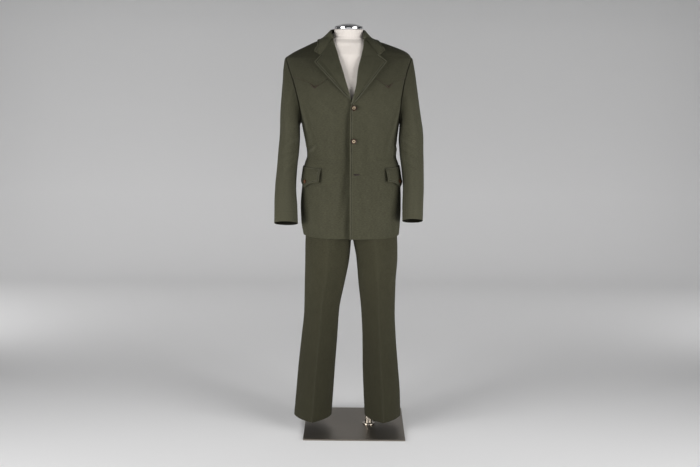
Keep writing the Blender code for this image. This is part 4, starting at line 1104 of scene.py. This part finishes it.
def makeSleeve(side):
    points, normals, inward, fold = armholeLoop(side)
    topZ, cuffZ = (sleeveShape[side][k][0] for k in (-1, 0))
    end = sleeveRing(side, topZ)
    lift = np.pi * fold / jacketShape["armSteps"]
    behind = np.arange(armPoints) > armPoints // 2
    under, atBack, atFront = sleeveShape["leave"]
    across = under + np.where(behind, atBack, atFront) * np.sin(lift / 2) ** 1.2
    leave = normals * np.sqrt(1 - across**2)[:, None] + inward * across[:, None]
    backUp = unit(np.array([-side * sleeveShape["lean"][side], 0, 1.0]))
    start = points + inward * sleeveShape["seamIn"]
    length = np.linalg.norm(end - start, axis=1, keepdims=True)
    near = start + leave * np.minimum(sleeveShape["nearMost"], 0.4 * length)
    far = end + backUp * 0.33 * length
    headRows, armRows = sleeveShape["rows"]
    rows = []
    for s in spread(0, 1, headRows, 0.35)[:-1]:
        bent = start * (1 - s) ** 3 + near * 3 * s * (1 - s) ** 2
        rows.append(bent + far * 3 * s * s * (1 - s) + end * s**3)
    rows += [sleeveRing(side, z) for z in spread(topZ, cuffZ, armRows, 0.3)]
    grid = np.array(rows)
    sample, outwards = (-1, armPoints // 2), (side, 0, 0)
    normals = facing(gridNormals(grid, tube=True), sample, outwards)
    pitch = sleeveShape["foldPitch"]
    place = 16 * np.arange(armPoints) / armPoints * pitch
    relief = foldRelief(sleeveShape["folds"][side], pitch, place[None, :] + 0 * grid[..., 2], grid[..., 2])
    relief = foldStrength["sleeve"] * relief
    reach = np.linspace(0, 1, len(grid))[:, None]
    relief = relief * smoothStep(0.02, 0.16, reach)
    # A little fullness where the head is eased into the armhole
    relief += sleeveShape["fullness"] * bell(reach - 0.06, 0.035) * np.clip(np.sin(lift / 2), 0, 1) ** 2
    grid = raised(grid, normals, relief)
    normals = facing(gridNormals(grid, tube=True), sample, outwards)
    fromHead = np.linalg.norm(grid - grid[:1], axis=-1)
    grid = raised(grid, normals, -jacketShape["seamDip"] * bell(fromHead, jacketShape["seamReach"]))
    first, second = (armPoints * k // 16 for k in sleeveShape["seams"])
    spans = {
        "upper": np.arange(first, second + 1),
        "under": np.arange(second, armPoints + first + 1) % armPoints,
    }
    for part, columns in spans.items():
        panel = grid[:, columns].copy()
        panelNormal = normals[:, columns]
        for edge, inner in ((0, 1), (-1, -2)):
            panel[:, edge] += (panel[:, inner] - panel[:, edge]) * sleeveShape["edgeIn"]
        panel = seamGroove(panel, panelNormal, (0, 0, 0.7, 0.7))
        depth, inset, width = sleeveShape["hemLine"]
        fromHem = edgeDistance(panel, rows=(False, True))
        panel = raised(panel, panelNormal, -depth * bell(fromHem - inset, width))
        node, back = f"sleeve_{part}_{sideName[side]}", "jacket_back_" + sideName[side]
        cut, wall, shade = "sleeve_" + part, sleeveShape["wall"], sleeveShape["insideShade"]
        wornCloth(node, panel, panelNormal, wall, woolSleeveCuffLit, cut, "hung", [back], insideShade=shade)


makeSleeve(left)
makeSleeve(right)
print("sleeves made")

flapShape = {
    "middle": {left: 69.0, right: 63.5},
    "topZ": {left: 1.0090, right: 1.0060},
    "halfTurn": 27.0,
    "endDepth": 0.051,
    "pointDrop": 0.0235,
    "pointPower": 1.7,
    "thick": 0.0024,
    "standOff": 0.0058,
    "frontLift": 0.0048,
    "topRound": (0.0016, 0.0022),
    "stitchIn": 0.006,
    "buttonUp": 0.0210,
}


def flapPlace(side, s, v):
    shape = flapShape
    depth = shape["endDepth"] + shape["pointDrop"] * (1 - np.abs(s)) ** shape["pointPower"]
    turn = shape["middle"][side] + s * shape["halfTurn"]
    lift = jacketShape["layerGap"] + shape["standOff"] * v**1.5 * (1 - 0.75 * smoothStep(0.1, 1.0, s))
    lift = lift + shape["frontLift"] * smoothStep(0.0, -1.0, s) * smoothStep(0.0, 0.35, v)
    return turn, shape["topZ"][side] - depth * v, lift


def makeFlap(side):
    shape = flapShape
    s = spread(-1, 1, 84, 0.4)[None, :]
    v = spread(0, 1, 40, 0.4)[:, None]
    turn, z, lift = flapPlace(side, s + 0 * v, v + 0 * s)
    lift = lift * smoothStep(-0.02, 0.05, v + 0 * s)
    outward = bodyNormal(side, turn, z)
    points = raised(bodyPoint(side, turn, z), outward, lift + shape["thick"])
    middle = (20, 40)
    normals = facing(gridNormals(points), middle, outward[middle])
    distance = edgeDistance(points, columns=(True, True), rows=(False, True))
    points = topstitched(points, normals, distance, shape["stitchIn"])
    depth, reach = shape["topRound"]
    points = raised(points, normals, -depth * bell(edgeDistance(points, rows=(True, False)), reach))
    group = "stitches_flap_" + sideName[side]
    bottom = gridLine(points, edgeDistance(points, rows=(False, True)), shape["stitchIn"], rowFirst=False)
    stitchRun(group, bottom[8:-8], outward[-1, 8:-8])
    for edge, column in (((True, False), 0), ((False, True), -1)):
        line = gridLine(points, edgeDistance(points, columns=edge), shape["stitchIn"])
        stitchRun(group, line[2:-9], outward[2:-9, column])
    node, front = "pocket_flap_" + sideName[side], "jacket_front_" + sideName[side]
    wornCloth(node, points, normals, shape["thick"], wool, "pocket_flap", "hung", [front])


makeFlap(left)
makeFlap(right)

buttonShape = {
    "x": 0.0128,
    "heights": (1.2285, 1.1085, 0.9865),
    "lifts": (0.0059, 0.0030, 0.0003),
    "radius": 0.0100,
    "thick": 0.0036,
    "hiddenThick": 0.0028,
    "flapRadius": 0.0076,
    "points": (30, 72),  # rings and spokes
    "rim": (0.84, 0.11),
    "holeRadius": 0.0010,
    "holePlace": 0.0021,
    "holeDepth": 0.0018,
    "topTilt": -0.50,
    "tiltedSpin": 0.6,
    "lanes": (-0.0004, 0.0, 0.0004),
    "threadRadius": 0.00030,
    "shankRadius": 0.0013,
    "shankEnds": (-0.0012, 0.0016),
    # place across and up, and length
    "holes": ((0.0170, 1.2275, 0.015), (0.0170, 1.1085, 0.015), (0.0245, 0.9865, 0.021)),
}


def makeButton(name, radius, thick, place, normal, finish, tilt=0.0, shank=0.0):
    shape = buttonShape
    rings, spokes = shape["points"]
    scale = radius / shape["radius"]
    holePlace, holeRadius = shape["holePlace"] * scale, shape["holeRadius"] * scale
    rimAt, rimWidth = shape["rim"]
    points = []
    for i in range(rings + 1):
        r = radius * i / rings
        share = r / radius
        rim = math.exp(-(((share - rimAt) / rimWidth) ** 2))
        dish = 0.70 + 0.30 * rim - 0.42 * max(0.0, (share - 0.90) / 0.10) ** 2
        for x, y in circle(r, spokes):
            height = thick * dish
            for hx, hy in ((-1, -1), (-1, 1), (1, -1), (1, 1)):
                away = math.hypot(x - hx * holePlace, y - hy * holePlace)
                height -= shape["holeDepth"] * (1 / (1 + (away / holeRadius) ** 6))
            points.append((x, y, height))
    under = [(radius, 0.5 * thick), (radius * 0.96, 0.2 * thick), (radius * 0.72, 0.0), (0.0005, 0.0)]
    for r, height in under:
        points += [(x, y, height) for x, y in circle(r, spokes)]
    faces = ringFaces(rings + 1 + len(under), spokes)
    faces.append(tuple(range(len(points) - spokes, len(points)))[::-1])
    turnTo = Matrix.Translation(Vector(place)) @ Vector(normal).to_track_quat("Z", "Y").to_matrix().to_4x4()
    spin = shape["tiltedSpin"] * bool(tilt)
    turnTo = turnTo @ Matrix.Rotation(spin, 4, "Z") @ Matrix.Rotation(tilt, 4, "X")
    piece = addMesh(name, [turnTo @ Vector(p) for p in points], faces, finish, points, sharp=50)
    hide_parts(name)
    # Thread crossing through the four holes
    group = "thread_" + name
    threads[group] = []
    up = np.array(turnTo.to_3x3() @ Vector((0, 0, 1)))
    for sign in (1, -1):
        for lane in shape["lanes"]:
            path = []
            for step in np.linspace(-1, 1, 13)[::3]:
                rise = thick * 0.70 - 0.0012 * abs(step) ** 6 + 0.0004 * (1 - step * step)
                spot = (holePlace * step + lane, sign * holePlace * step - sign * lane, rise)
                path.append((np.array(turnTo @ Vector(spot)), up))
            threads[group].append((path, shape["threadRadius"]))
    if shank:
        # The thread's shank, from the button's back down into the cloth
        inside, beyond = shape["shankEnds"]
        sideways = np.array([1.0, 0.0, 0.0])
        ways = np.linspace(inside, shank + beyond, 5)
        down = [(np.array(place) - np.array(normal) * way, sideways) for way in ways]
        threads[group].append((down, shape["shankRadius"]))
    stitchMesh(group, markThread)


def makeButtons():
    shape = buttonShape
    for number, (z, lift) in enumerate(zip(shape["heights"], shape["lifts"]), start=1):
        hidden = number == len(shape["heights"])
        side = right if hidden else left
        turn = float(ringTurn(bodyLevels, side, shape["x"], z))
        normal = bodyNormal(side, np.array(turn), np.array(z))
        place = bodyPoint(side, np.array(turn), np.array(z)) + normal * lift
        thick, shank = (shape["hiddenThick"], 0.0) if hidden else (shape["thick"], lift)
        tilt = shape["topTilt"] if number == 1 else 0.0
        makeButton(f"button_front_{number}", shape["radius"], thick, place, normal, horn, tilt, shank)
    for side in (left, right):
        depth = flapShape["endDepth"] + flapShape["pointDrop"]
        turn, z, lift = flapPlace(side, np.array(0.0), np.array(1 - flapShape["buttonUp"] / depth))
        normal = bodyNormal(side, turn, z)
        place = bodyPoint(side, turn, z) + normal * (lift + flapShape["thick"] + 0.0003)
        name = "button_flap_" + sideName[side]
        makeButton(name, shape["flapRadius"], shape["thick"], place, normal, flapHorn)


holeShape = {
    "stitches": 56,
    "rowShares": (1.0, 0.4),
    "slit": 0.0014,
    "eye": 0.0010,
    "reach": (-0.0008, 0.0010),
    "lift": 0.0004,
    "radius": 0.00090,
}


def makeButtonhole(name, side, x, z, length):
    # Close purl stitches round a slit with an eye by the front's edge, and a smaller row inside; both rows
    # in near-black thread, and the smaller row fills the slit, painted shade for the opening
    shape = holeShape
    stitches, near, far = shape["stitches"], *shape["reach"]
    for share in shape["rowShares"]:
        path = []
        for k in range(stitches):
            turn = 2 * math.pi * k / stitches
            dx = math.cos(turn) * length / 2 * (0.8 + 0.2 * share)
            dz = math.sin(turn) * share * (shape["slit"] + shape["eye"] * (1 - math.cos(turn)) / 2)
            path.append((x + dx, z + dz))
        path = np.array(path)
        turns = ringTurn(bodyLevels, side, path[:, 0], path[:, 1])
        points = bodyPoint(side, turns, path[:, 1])
        normals = bodyNormal(side, turns, path[:, 1])
        for point, normal, after in zip(points, normals, np.roll(points, -1, axis=0)):
            out = unit(np.cross(unit(after - point), normal))
            line = [point + out * w + normal * shape["lift"] for w in np.linspace(near, far, 5)]
            threads.setdefault(name, []).append(([(p, normal) for p in line], shape["radius"]))
    stitchMesh(name, slitShadeThread)


makeButtons()
for number, hole in enumerate(buttonShape["holes"], start=1):
    makeButtonhole(f"buttonhole_front_{number}", left, *hole)
print("flaps and buttons made")

# Russet tacks at each yoke's point: a short V with one longer arm
tackShape = {
    "arms": ((-0.012, 0.0110), (0.014, 0.0125)),  # across and up
    "lanes": (0.0, 0.0012),
    "down": 0.0006,
    "lift": 0.0020,
    "stitch": {"pitch": 0.0026, "share": 0.98, "radius": 0.00085},
}
for wearerSide in (left, right):
    pointX, pointZ = jacketShape["yokePoint"][wearerSide]
    group = "yoke_tack_" + sideName[wearerSide]
    for endX, endZ in tackShape["arms"]:
        for lane in tackShape["lanes"]:
            xs = pointX + np.linspace(0, endX * wearerSide, 8)
            zs = pointZ - tackShape["down"] + np.linspace(0, endZ, 8) - lane
            turns = ringTurn(bodyLevels, wearerSide, xs, zs)
            normals = bodyNormal(wearerSide, turns, zs)
            path = bodyPoint(wearerSide, turns, zs) + normals * tackShape["lift"]
            stitchRun(group, path, normals, **tackShape["stitch"])
    stitchMesh(group, markThread)
for group in list(threads):
    finish = markThread if "yoke" in group else stitchThread
    stitchMesh(group, finish)
print("stitches made")

trouserShape = {
    "wall": 0.0015,
    "hips": [
        (0.742, 0.0087, 0.1700, 0.111, 0.118, 2.15),
        (0.800, 0.0060, 0.1740, 0.114, 0.126, 2.15),
        (0.860, 0.0045, 0.1740, 0.113, 0.127, 2.15),
        (0.920, 0.0055, 0.1680, 0.110, 0.120, 2.15),
        (0.980, 0.0058, 0.1590, 0.104, 0.107, 2.15),
        (1.035, 0.0055, 0.1545, 0.100, 0.098, 2.15),
    ],
    left: [
        (0.045, 0.0640, 0.2025, -0.117, 0.107, 0.42),
        (0.128, 0.0594, 0.1997, -0.111, 0.100, 0.42),
        (0.240, 0.0544, 0.1902, -0.103, 0.090, 0.42),
        (0.350, 0.0524, 0.1805, -0.097, 0.081, 0.42),
        (0.460, 0.0464, 0.1750, -0.094, 0.076, 0.40),
        (0.570, 0.0346, 0.1764, -0.097, 0.082, 0.35),
        (0.660, 0.0262, 0.1820, -0.104, 0.095, 0.28),
        (0.742, 0.0098, 0.1802, -0.110, 0.115, 0.15),
    ],
    right: [
        (0.045, -0.0630, -0.2075, -0.117, 0.107, 0.42),
        (0.128, -0.0574, -0.2005, -0.111, 0.100, 0.42),
        (0.240, -0.0504, -0.1913, -0.103, 0.090, 0.42),
        (0.350, -0.0428, -0.1800, -0.097, 0.081, 0.42),
        (0.460, -0.0359, -0.1696, -0.094, 0.076, 0.40),
        (0.570, -0.0150, -0.1679, -0.097, 0.082, 0.35),
        (0.660, 0.0012, -0.1665, -0.104, 0.095, 0.28),
        (0.742, 0.0076, -0.1662, -0.110, 0.115, 0.15),
    ],
    "crotchZ": 0.742,
    "bandBottom": 0.9953,
    "bandTop": 1.035,
    "bandWall": 0.0024,
    "turnShare": (0.378, 0.622),
    "hipReach": 0.120,  # above the crotch the inner side becomes the hips
    "outerBlend": (0.690, 0.860),
    "riseRows": 0.253,  # height of the rows above the crotch
    "lastTurn": 1.9999,
    "seamIn": 0.00015,
    "press": 0.0012,
    "hemLine": (0.0004, 0.040, 0.003),  # depth, height above the hem and width
    "foldPitch": 0.25,
    "folds": {
        # across is the turn round the leg: 0 inseam, 0.5 front crease, 1 outseam, 1.5 back crease
        left: [
            (0.20, 0.660, 0.38, 0.500, 0.018, 0.0030),
            (0.70, 0.700, 0.62, 0.520, 0.020, -0.0026),
            (0.12, 0.560, 0.40, 0.520, 0.012, -0.0022),
            (0.58, 0.625, 0.92, 0.612, 0.007, 0.0020),
            (0.62, 0.330, 0.80, 0.180, 0.018, 0.0024),
            (0.30, 0.300, 0.22, 0.130, 0.018, -0.0024),
            (1.20, 0.560, 1.45, 0.500, 0.013, 0.0034),
            (1.30, 0.500, 1.75, 0.470, 0.012, -0.0032),
            (1.55, 0.460, 1.85, 0.430, 0.012, 0.0028),
            (1.30, 0.240, 1.25, 0.090, 0.020, -0.0024),
            (1.75, 0.320, 1.70, 0.120, 0.020, 0.0028),
            (1.25, 0.720, 1.40, 0.600, 0.018, 0.0030),
        ],
        right: [
            (0.22, 0.650, 0.36, 0.490, 0.018, -0.0028),
            (0.72, 0.690, 0.64, 0.530, 0.021, 0.0030),
            (0.14, 0.540, 0.42, 0.500, 0.012, 0.0024),
            (0.60, 0.480, 0.90, 0.440, 0.012, -0.0020),
            (0.64, 0.310, 0.76, 0.160, 0.019, -0.0026),
            (0.28, 0.280, 0.24, 0.110, 0.018, 0.0026),
            (1.22, 0.550, 1.47, 0.510, 0.013, -0.0032),
            (1.32, 0.510, 1.72, 0.480, 0.012, 0.0034),
            (1.52, 0.450, 1.82, 0.420, 0.012, -0.0026),
            (1.28, 0.260, 1.30, 0.080, 0.020, 0.0026),
            (1.72, 0.300, 1.75, 0.100, 0.020, -0.0026),
            (1.70, 0.710, 1.55, 0.590, 0.018, 0.0028),
        ],
    },
}
hipLevels = smoothCurve(trouserShape["hips"])
legLevels = {side: smoothCurve(trouserShape[side]) for side in (left, right)}


def legPoint(side, w, z):
    inner, outer, front, back, crease = legLevels[side](z)
    turn = np.pi * (w - 0.5)
    across = np.sin(turn)
    profile = (1 - crease) * np.abs(np.cos(turn)) + crease * (1 - np.abs(across))
    # The press keeps the crease sharp at front and back
    ahead = np.where(np.cos(turn) > 0, 1, -1)
    x = (inner + outer) / 2 + (outer - inner) / 2 * across
    y = (front + back) / 2 - ahead * (back - front) / 2 * profile
    return np.stack([x, y, z], -1)


def trouserBase(side, w, z):
    w, z = np.broadcast_arrays(np.mod(w, 2), np.asarray(z, float))
    t = np.where(w <= 1, w, 2 - w)
    straight, squared = trouserShape["turnShare"]
    share = straight * t + squared * t * t
    turn = np.where(w <= 1, 90 * share, 180 - 90 * share)
    hip = ringPoint(hipLevels, side, turn, z)
    rise = np.clip((z - trouserShape["crotchZ"]) / trouserShape["hipReach"], 0, 1)
    fast = np.sqrt(1 - (1 - rise) ** 2)
    slow = smoothStep(*trouserShape["outerBlend"], z)
    outward = smoothStep(0.0, 0.6, t)
    blend = (fast * (1 - outward) + slow * outward)[..., None]
    return legPoint(side, w, z) * (1 - blend) + hip * blend


def makeTrousers(side):
    shape = trouserShape
    hem = shape[side][0][0]
    crotch = shape["crotchZ"]
    rise = shape["riseRows"] * np.linspace(0.02, 1, 40) ** 1.6
    z = np.concatenate([spread(hem, crotch, 128, 0.3), crotch + rise])
    z[-1] = shape["bandBottom"] - 0.0003
    z = z[:, None]
    pitch = shape["foldPitch"]
    for part, first in (("front", 0.0), ("back", 1.0)):
        half = 0.5 - 0.5 * np.abs(np.linspace(1, 0, 25)) ** 0.8
        w = first + np.concatenate([half[:-1], 1 - half[::-1]])
        if part == "back":
            w[-1] = shape["lastTurn"]
        w = w[None, :]
        points = trouserBase(side, w, z)
        step = 0.012
        low, high = w - step, w + step
        above = z > crotch
        low = np.where(above & (w < 1), np.maximum(low, 0), low)
        high = np.where(above & (w > 1), np.minimum(high, shape["lastTurn"]), high)
        around = trouserBase(side, high, z) - trouserBase(side, low, z)
        up = trouserBase(side, w, z + 0.002) - trouserBase(side, w, z - 0.002)
        normals = unit(np.cross(around, up) * side)
        folds = shape["folds"][side]
        relief = foldStrength["leg"] * foldRelief(folds, pitch, w * pitch + 0 * z, z + 0 * w)
        edge = np.abs(np.mod(w, 1) - 0.5)
        relief = relief * smoothStep(0.0, 0.14, edge) * smoothStep(0.5, 0.44, edge)
        relief = relief * smoothStep(0.80, 0.74, z)
        pressed = shape["press"] * bell(edge, 0.009) * smoothStep(0.80, 0.70, z)
        points = raised(points, normals, relief + pressed)
        # The hem is pressed up inside, which leaves a faint line above the edge
        depth, inset, width = shape["hemLine"]
        points = raised(points, normals, -(depth * bell(z - hem - inset, width) + 0 * w))
        points = seamGroove(points, normals, (0, 0, 0.8, 0.8))
        middle = hipLevels(points[..., 2])[0]
        close = side * (points[..., 0] - middle) < shape["seamIn"]
        meets = middle + side * shape["seamIn"]
        points[..., 0] = np.where(close & (points[..., 2] > 0.69), meets, points[..., 0])
        cut, node = "trouser_" + part, f"trouser_{part}_{sideName[side]}"
        wornCloth(node, points, normals, shape["wall"], woolTrouserShaded, cut, "hung", ["trouser_waistband"])


makeTrousers(left)
makeTrousers(right)


def tubeRings(levels, heights, count=180):
    turn = np.linspace(0, 360, count, endpoint=False)
    rings = []
    for z in heights:
        half = ringPoint(levels, left, np.minimum(turn, 360 - turn), np.full(count, z))
        centre = float(levels(np.array(z))[0])
        half[:, 0] = np.where(turn <= 180, half[:, 0], 2 * centre - half[:, 0])
        rings.append(half)
    return np.array(rings)


def makeWaistband():
    shape = trouserShape
    rings = tubeRings(hipLevels, np.linspace(shape["bandBottom"], shape["bandTop"], 10))
    normals = facing(gridNormals(rings, tube=True), (5, 0), (0, -1, 0))
    node, wall = "trouser_waistband", shape["bandWall"]
    wornCloth(node, rings, normals, wall, woolTrouserShaded, node, "hung", ["dress_form"], tube=True)


makeWaistband()
print("trousers made")

# The form and the plate keep their solids; cap, pole, socket and screw are turned more finely
for node, finish in (("dress_form", jersey), ("base_plate", plateSteel)):
    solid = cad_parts[node]
    solid.data.materials.clear()
    solid.data.materials.append(finish.material)

standShape = {
    "pole": (0.0795, -0.006),
    "poleRadius": 0.0095,
    "poleBevel": 0.0007,
    "plateTop": 0.0063,
    "capPlace": (-0.009, 0.004),
    "capRadius": 0.0520,
    "capRound": 0.0020,
    "capRim": 0.0110,
    "capDome": 0.0100,
    "screwPlace": (0.0143, 0.020),
    # radius and height
    "socket": [
        (0.0098, 0.0320), (0.0130, 0.0320), (0.0137, 0.0316), (0.0140, 0.0308), (0.0140, 0.0080),
        (0.0146, 0.0052), (0.0165, 0.0040), (0.0200, 0.0038), (0.0215, 0.0043), (0.0225, 0.0040),
        (0.0230, 0.0030), (0.0230, 0.0), (0.0098, 0.0), (0.0098, 0.0320),
    ],
    "screw": [
        (0.0003, 0.0145), (0.0095, 0.0145), (0.0108, 0.0139), (0.0115, 0.0127), (0.0115, 0.0053),
        (0.0108, 0.0041), (0.0095, 0.0035), (0.0040, 0.0035), (0.0040, 0.0), (0.0003, 0.0),
    ],
}


def turnedPiece(name, profile, place, finish, axis="Z", spokes=96):
    # A turned piece from a profile of radius and height
    points = []
    for radius, height in profile:
        for x, y in circle(radius, spokes):
            points.append((height, y, -x) if axis == "X" else (x, y, height))
    faces = ringFaces(len(profile), spokes)
    faces.append(tuple(range(spokes)))
    faces.append(tuple(range(len(points) - spokes, len(points)))[::-1])
    piece = addMesh(name, np.array(points) + np.array(place), faces, finish, sharp=40)
    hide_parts(name)


def makeStand():
    shape = standShape
    capRim, capRadius, capRound = shape["capRim"], shape["capRadius"], shape["capRound"]
    domeRadius = capRadius - capRound
    rise = [(s, capRim + shape["capDome"] * (1 - s * s)) for s in np.linspace(0, 1, 28)]
    cap = [(max(domeRadius * s, 0.0004), height) for s, height in rise]
    for turn in np.linspace(0.2, math.pi / 2, 7):
        cap.append((domeRadius + capRound * math.sin(turn), capRim - capRound * (1 - math.cos(turn))))
    cap += [(capRadius, 0.0012), (capRadius - 0.001, 0.0), (0.0004, 0.0)]
    capZ = float(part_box("neck_cap")[0][2])
    turnedPiece("neck_cap", cap, (*shape["capPlace"], capZ), chrome)
    poleX, poleY = shape["pole"]
    low, high = (float(corner[2]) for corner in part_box("stand_pole"))
    radius, bevel = shape["poleRadius"], shape["poleBevel"]
    pole = [(radius - bevel, high), (radius, high - bevel), (radius, low + bevel), (radius - bevel, low)]
    turnedPiece("stand_pole", pole, (poleX, poleY, 0), paintedReflectionChrome)
    socketPlace = (poleX, poleY, shape["plateTop"])
    turnedPiece("pole_socket", shape["socket"], socketPlace, paintedReflectionChrome)
    out, up = shape["screwPlace"]
    screwPlace = (poleX + out, poleY, shape["plateTop"] + up)
    turnedPiece("socket_screw", shape["screw"], screwPlace, blackMetal, "X", 48)


makeStand()
print("form and stand made")

# A pale sweep: floor, curve and wall, one paper painted lighter on the floor and darker up the wall:
# painted light and shade
stageShape = {
    "width": 9.0,
    "front": -3.6,
    "bend": 2.6,
    "radius": 1.5,
    "height": 4.6,
    "bendSteps": 24,
    "wallShadeRise": (0.40, 1.45),  # height where the wall's painted shade begins, and over how much it grows
    "wallShadedTone": (0.60, 0.60, 0.60),
    "floorLitTone": (0.86, 0.855, 0.855),
}


def makeSweep():
    shape = stageShape
    bend, radius, steps = shape["bend"], shape["radius"], shape["bendSteps"]
    profile = [(shape["front"], 0.0), (bend, 0.0)]
    for k in range(1, steps + 1):
        turn = math.pi / 2 * k / steps
        profile.append((bend + radius * math.sin(turn), radius * (1 - math.cos(turn))))
    profile.append((bend + radius, shape["height"]))
    half = shape["width"] / 2
    points = [(x, y, z) for y, z in profile for x in (-half, half)]
    faces = [(2 * i, 2 * i + 1, 2 * i + 3, 2 * i + 2) for i in range(len(profile) - 1)]
    mesh = bpy.data.meshes.new("sweep")
    mesh.from_pydata(points, [], faces)
    mesh.shade_smooth()
    paper = Finish("palePaper", roughness=0.9)
    place = paper.node("TexCoord", output="Object")
    up = paper.split(place)[2]
    mottle = paper.noise(place, 60.0, 4.0)
    low, over = shape["wallShadeRise"]
    # Painted shade: darker with height, from the floor's tone to the wall's
    rise = ((up - low) / over + (mottle - 0.5) * 0.03).clipped()
    paper.set("baseColor", paper.mix(rise, shape["floorLitTone"], shape["wallShadedTone"]))
    paper.bump(mottle, 0.0002)
    mesh.materials.append(paper.material)
    addObject("sweep", mesh)


makeSweep()

lightShape = {
    # place, aim, size across and up, power; the two softboxes stand 50 degrees to either side
    "left": ((-2.45, -2.05, 1.05), (0.0, 0.0, 0.95), (1.75, 1.3), 80.0),
    "right": ((2.45, -2.05, 1.05), (0.0, 0.0, 0.95), (1.75, 1.3), 78.0),
    "front": ((0.0, -3.9, 0.50), (0.0, 0.0, 0.85), (2.4, 0.8), 7.0),
    "wallLeft": ((-2.6, 1.4, 1.0), (-0.8, 4.2, 0.8), (1.6, 1.2), 16.5),
    "wallRight": ((2.6, 1.4, 1.0), (0.8, 4.2, 0.8), (1.6, 1.2), 12.0),
    "floorLeft": ((-1.5, -0.6, 2.2), (-0.25, -0.15, 0.0), (1.2, 0.8), 1.8),
    "floorRight": ((1.5, -0.6, 2.2), (0.25, -0.15, 0.0), (1.2, 0.8), 1.7),
    "floorBack": ((0.0, 1.7, 2.8), (0.0, 2.3, 0.0), (3.2, 1.0), 4.5),
}
beamSpread = {"floorLeft": 70, "floorRight": 70, "floorBack": 80}
for name, (place, aim, size, power) in lightShape.items():
    lamp = bpy.data.lights.new(name, "AREA")
    lamp.shape = "RECTANGLE"
    lamp.size, lamp.size_y = size
    lamp.energy = power
    lamp.spread = math.radians(beamSpread.get(name, 180))
    holder = addObject(name, lamp)
    holder.location = place
    holder.rotation_mode = "QUATERNION"
    holder.rotation_quaternion = (Vector(aim) - Vector(place)).to_track_quat("-Z", "Y")

airShape = {"tone": (0.92, 0.95, 1.0, 1.0), "strength": 0.06}
world = bpy.data.worlds.new("studio")
world.use_nodes = True
airTone, airStrength = world.node_tree.nodes["Background"].inputs[:2]
airTone.default_value = airShape["tone"]
airStrength.default_value = airShape["strength"]
bpy.context.scene.world = world
bpy.context.scene.view_settings.view_transform = "Standard"

cameraShape = {"place": (0.002, -4.4, 1.5), "down": 9.68, "roll": 0.5, "lens": 60.94, "sensor": 36.0}
eye = bpy.data.cameras.new("camera")
eye.lens = cameraShape["lens"]
eye.sensor_width = cameraShape["sensor"]
camera = addObject("camera", eye)
camera.matrix_world = (
    Matrix.Translation(cameraShape["place"])
    @ Matrix.Rotation(math.radians(90 - cameraShape["down"]), 4, "X")
    @ Matrix.Rotation(math.radians(cameraShape["roll"]), 4, "Z")
)
bpy.context.scene.camera = camera

bpy.context.view_layer.update()
